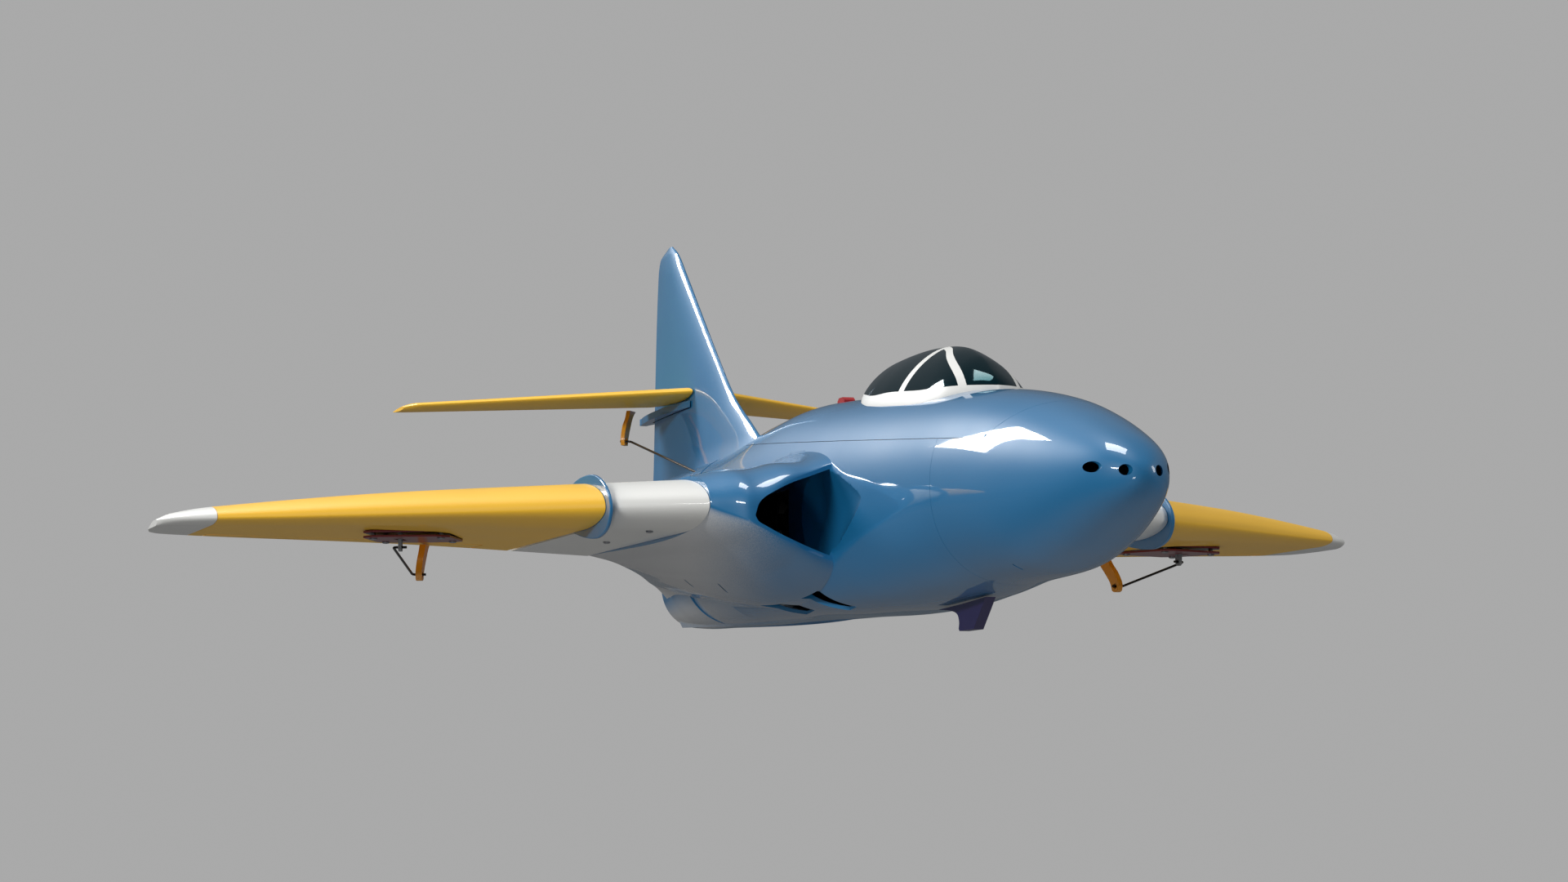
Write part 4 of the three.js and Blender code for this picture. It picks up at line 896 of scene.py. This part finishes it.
def canopy_solid(grow, deep):
    ys = spread(-443, -428, 20) + spread(-426, -225, 60) + spread(-224, -206, 18)
    rings = []
    for y in ys:
        base = through(CANOPY_BASE, y)
        half = max(through(CANOPY_HALF, y) + grow, 0.4)
        rise = max(through(CANOPY_TOP, y) - base + grow, 0.8)
        ring = []
        for t in spread(0, math.pi, 64):
            c, up = math.cos(t), max(math.sin(t), 0)
            ring.append((half * math.copysign(abs(c) ** PEAK, c), y, base + rise * up ** PEAK))
        rings.append(ring + [(-half, y, base - deep), (half, y, base - deep)])
    return loft("canopy", rings)


def canopy_bands(grow):
    """Frame strips: the base rail, the arch and the two windscreen posts."""
    ys = spread(CANOPY_BASE[0][0], CANOPY_BASE[-1][0], 60)
    rail = [(y, through(CANOPY_BASE, y) + through(RAIL_RISE, y) + grow) for y in ys]
    rail += [(y, through(CANOPY_BASE, y) - 40) for y in ys[::-1]]
    bands = [side_plate("rail", rail, 0, 100),
             block("arch", -50, 50, ARCH_Y - ARCH_HALF - grow, ARCH_Y + ARCH_HALF + grow, 30, 100)]
    line = smooth_line(POST, 8)
    half = POST_HALF + grow
    for side in (1, -1):
        edges = ([], [])
        for i, (x, y) in enumerate(line):
            after, before = line[min(i + 1, len(line) - 1)], line[max(i - 1, 0)]
            along = Vector((after[0] - before[0], after[1] - before[1])).normalized()
            for edge, k in zip(edges, (half, -half)):
                edge.append((side * (x - along.y * k), y + along.x * k))
        bands.append(plate("post", edges[0] + edges[1][::-1], 30, 100))
    return bands


def canopy():
    shell = minus(canopy_solid(0, 3), canopy_solid(-CANOPY_WALL, 30))
    glass = copy(shell, "glass")
    strips = canopy_bands(0)
    minus(glass, *canopy_bands(0.1))
    joined = strips[0]
    union(joined, *strips[1:])
    overlap(shell, joined)
    dress(round_edges(shell, 0.35, 2, 50), "canopy_rails", "hatch", WHITE, ["canopy_frame"])
    ahead = block("ahead", -60, 60, -520, ARCH_Y, 20, 110)
    front = overlap(copy(glass, "front"), ahead, keep=True)
    line = smooth_line(POST, 8)
    foot = POST[-1][0]
    plan = line + [(foot, -460), (-foot, -460)] + [(-x, y) for x, y in line[::-1]]
    middle = plate("middle", plan, 30, 100)
    dress(overlap(copy(front, "mid"), middle, keep=True), "windscreen_pane", "hatch", GLASS,
          ["windscreen"])
    minus(front, middle)
    for name, side in SIDES:
        pane = overlap(copy(front, "pane"), sided("half", side, 0.1, 60, -520, -300, 20, 110))
        dress(pane, f"quarter_pane_{name}", "hatch", GLASS, [f"canopy_pane_{name}"])
    minus(glass, ahead)
    dress(glass, "bubble_pane", "hatch", GLASS, ["canopy_bubble"])
    bpy.data.objects.remove(front)


# ------------------------------------------------------------------------ hook and carried-over parts
def hook():
    front = [(-427, -60.9), (-421, -66), (-408, -76.4), (-406, -78), (-381.5, -78)]
    back = smooth_line([(-380.3, -76.6), (-381, -72.5), (-377, -68), (-364, -65.6), (-343, -64.2)], 6)
    piece = side_plate("hook", front + back + [(-385, -62.9)], 0, 6)
    dress(round_edges(piece, 0.5), "hook_blade", "airframe", NAVY, ["launch_hook"])


def carried_over():
    finishes = {"motor_metal": MOTOR, "carbon": CARBON, "circuit_green": GREEN, "battery_wrap": WRAP,
                "tray_plastic": TRAY, "grey_nylon": GREY, "latch_red": RED, "black_plastic": BLACK,
                "black_wire": RODS}
    for row in frame["record"]["subparts"]:
        paint = finishes.get(row["material_slot"])
        if paint is None:
            continue
        data = frame["nodes"][row["node"]].data
        data.materials.clear()
        data.materials.append(paint)


# ------------------------------------------------------------------ stage, light and camera
# Soft boxes: name, place, width and height, power.
LAMPS = (("back", (-1.2, 2.0, 1.45), (0.42, 1.0), 45), ("top", (-0.4, 0.4, 2.8), (1.0, 1.0), 30),
         ("key", (-2.6, -1.4, 1.05), (1.5, 0.2), 36), ("rim", (2.8, -1.2, 1.2), (0.7, 1.6), 20),
         ("low", (-1.6, -2.6, -1.1), (0.5, 0.5), 7))
FLOOR = dict(half=40, z=-2.0, tone=0.3)
BACKDROP, SKY = 0.40, 0.34      # what the camera sees behind the jet, and what lights it evenly
# What the gloss reflects, at a share of the way from straight down to straight up.
REFLECTED = ((0.42, (0.05, 0.06, 0.07, 1)), (0.75, (0.16, 0.17, 0.18, 1)))
CAMERA = dict(azimuth=-16.5769, elevation=-5.0495, distance=2862.56, across=7.0, upward=61.92, lens=101.25,
              sensor=36)


def grey(tone):
    return (tone, tone, tone, 1)


def floor():
    half, z = FLOOR["half"], FLOOR["z"]
    mesh = bpy.data.meshes.new("floor")
    mesh.from_pydata([(-half, -half, z), (half, -half, z), (half, half, z), (-half, half, z)], [],
                     [(0, 1, 2, 3)])
    obj = bpy.data.objects.new("floor", mesh)
    bpy.context.scene.collection.objects.link(obj)
    pale = bpy.data.materials.new("floor")
    pale.use_nodes = True
    shader = pale.node_tree.nodes["Principled BSDF"]
    shader.inputs["Base Color"].default_value = grey(FLOOR["tone"])
    shader.inputs["Roughness"].default_value = 0.9
    mesh.materials.append(pale)


def surroundings():
    """Even light, a plain backdrop for the camera and a darker ramp for reflections."""
    world = bpy.data.worlds.new("studio")
    bpy.context.scene.world = world
    world.use_nodes = True
    nodes, links = world.node_tree.nodes, world.node_tree.links
    where = nodes.new("ShaderNodeTexCoord")
    parts = nodes.new("ShaderNodeSeparateXYZ")
    height = nodes.new("ShaderNodeMapRange")
    height.inputs["From Min"].default_value = -1
    ramp = nodes.new("ShaderNodeValToRGB")
    for stop, (position, color) in zip(ramp.color_ramp.elements, REFLECTED):
        stop.position, stop.color = position, color
    links.new(where.outputs["Generated"], parts.inputs["Vector"])
    links.new(parts.outputs["Z"], height.inputs["Value"])
    links.new(height.outputs["Result"], ramp.inputs["Fac"])

    ray = nodes.new("ShaderNodeLightPath")
    glossy, seen = nodes.new("ShaderNodeMix"), nodes.new("ShaderNodeMix")
    glossy.data_type = seen.data_type = "RGBA"
    glossy.inputs["A"].default_value = grey(SKY)
    seen.inputs["B"].default_value = grey(BACKDROP)
    links.new(ray.outputs["Is Glossy Ray"], glossy.inputs["Factor"])
    links.new(ramp.outputs["Color"], glossy.inputs["B"])
    links.new(ray.outputs["Is Camera Ray"], seen.inputs["Factor"])
    links.new(glossy.outputs["Result"], seen.inputs["A"])
    links.new(seen.outputs["Result"], nodes["Background"].inputs["Color"])


def lamps():
    aim = Vector((0, -0.1, 0.1))
    for name, at, size, power in LAMPS:
        lamp = bpy.data.lights.new(name, "AREA")
        lamp.shape, lamp.size, lamp.size_y, lamp.energy = "RECTANGLE", *size, power
        obj = bpy.data.objects.new(name, lamp)
        obj.location = at
        obj.rotation_mode = "QUATERNION"
        obj.rotation_quaternion = (aim - Vector(at)).to_track_quat("-Z", "Y")
        bpy.context.scene.collection.objects.link(obj)


def camera():
    azimuth, elevation = math.radians(CAMERA["azimuth"]), math.radians(CAMERA["elevation"])
    back = Vector((math.sin(azimuth) * math.cos(elevation), -math.cos(azimuth) * math.cos(elevation),
                   math.sin(elevation)))
    right = (-back).cross(Vector((0, 0, 1))).normalized()
    up = right.cross(-back)
    lens = bpy.data.cameras.new("camera")
    lens.lens, lens.sensor_width = CAMERA["lens"], CAMERA["sensor"]
    lens.clip_start, lens.clip_end = 0.05, 200
    obj = bpy.data.objects.new("camera", lens)
    at = back * CAMERA["distance"] + right * CAMERA["across"] + up * CAMERA["upward"]
    obj.location = place([tuple(at)])[0]
    obj.rotation_mode = "QUATERNION"
    obj.rotation_quaternion = Matrix((right, up, back)).transposed().to_quaternion()
    bpy.context.scene.collection.objects.link(obj)
    bpy.context.scene.camera = obj


# ------------------------------------------------------------------ making
camera()
floor()
surroundings()
lamps()
bpy.context.scene.view_settings.view_transform = "Standard"
fuselage()
hatch_lid()
tail()
canopy()
hook()
for name, side in SIDES:
    wing(name, side)
    aileron_drive(name, side)
    tail_plane(name, side)
carried_over()
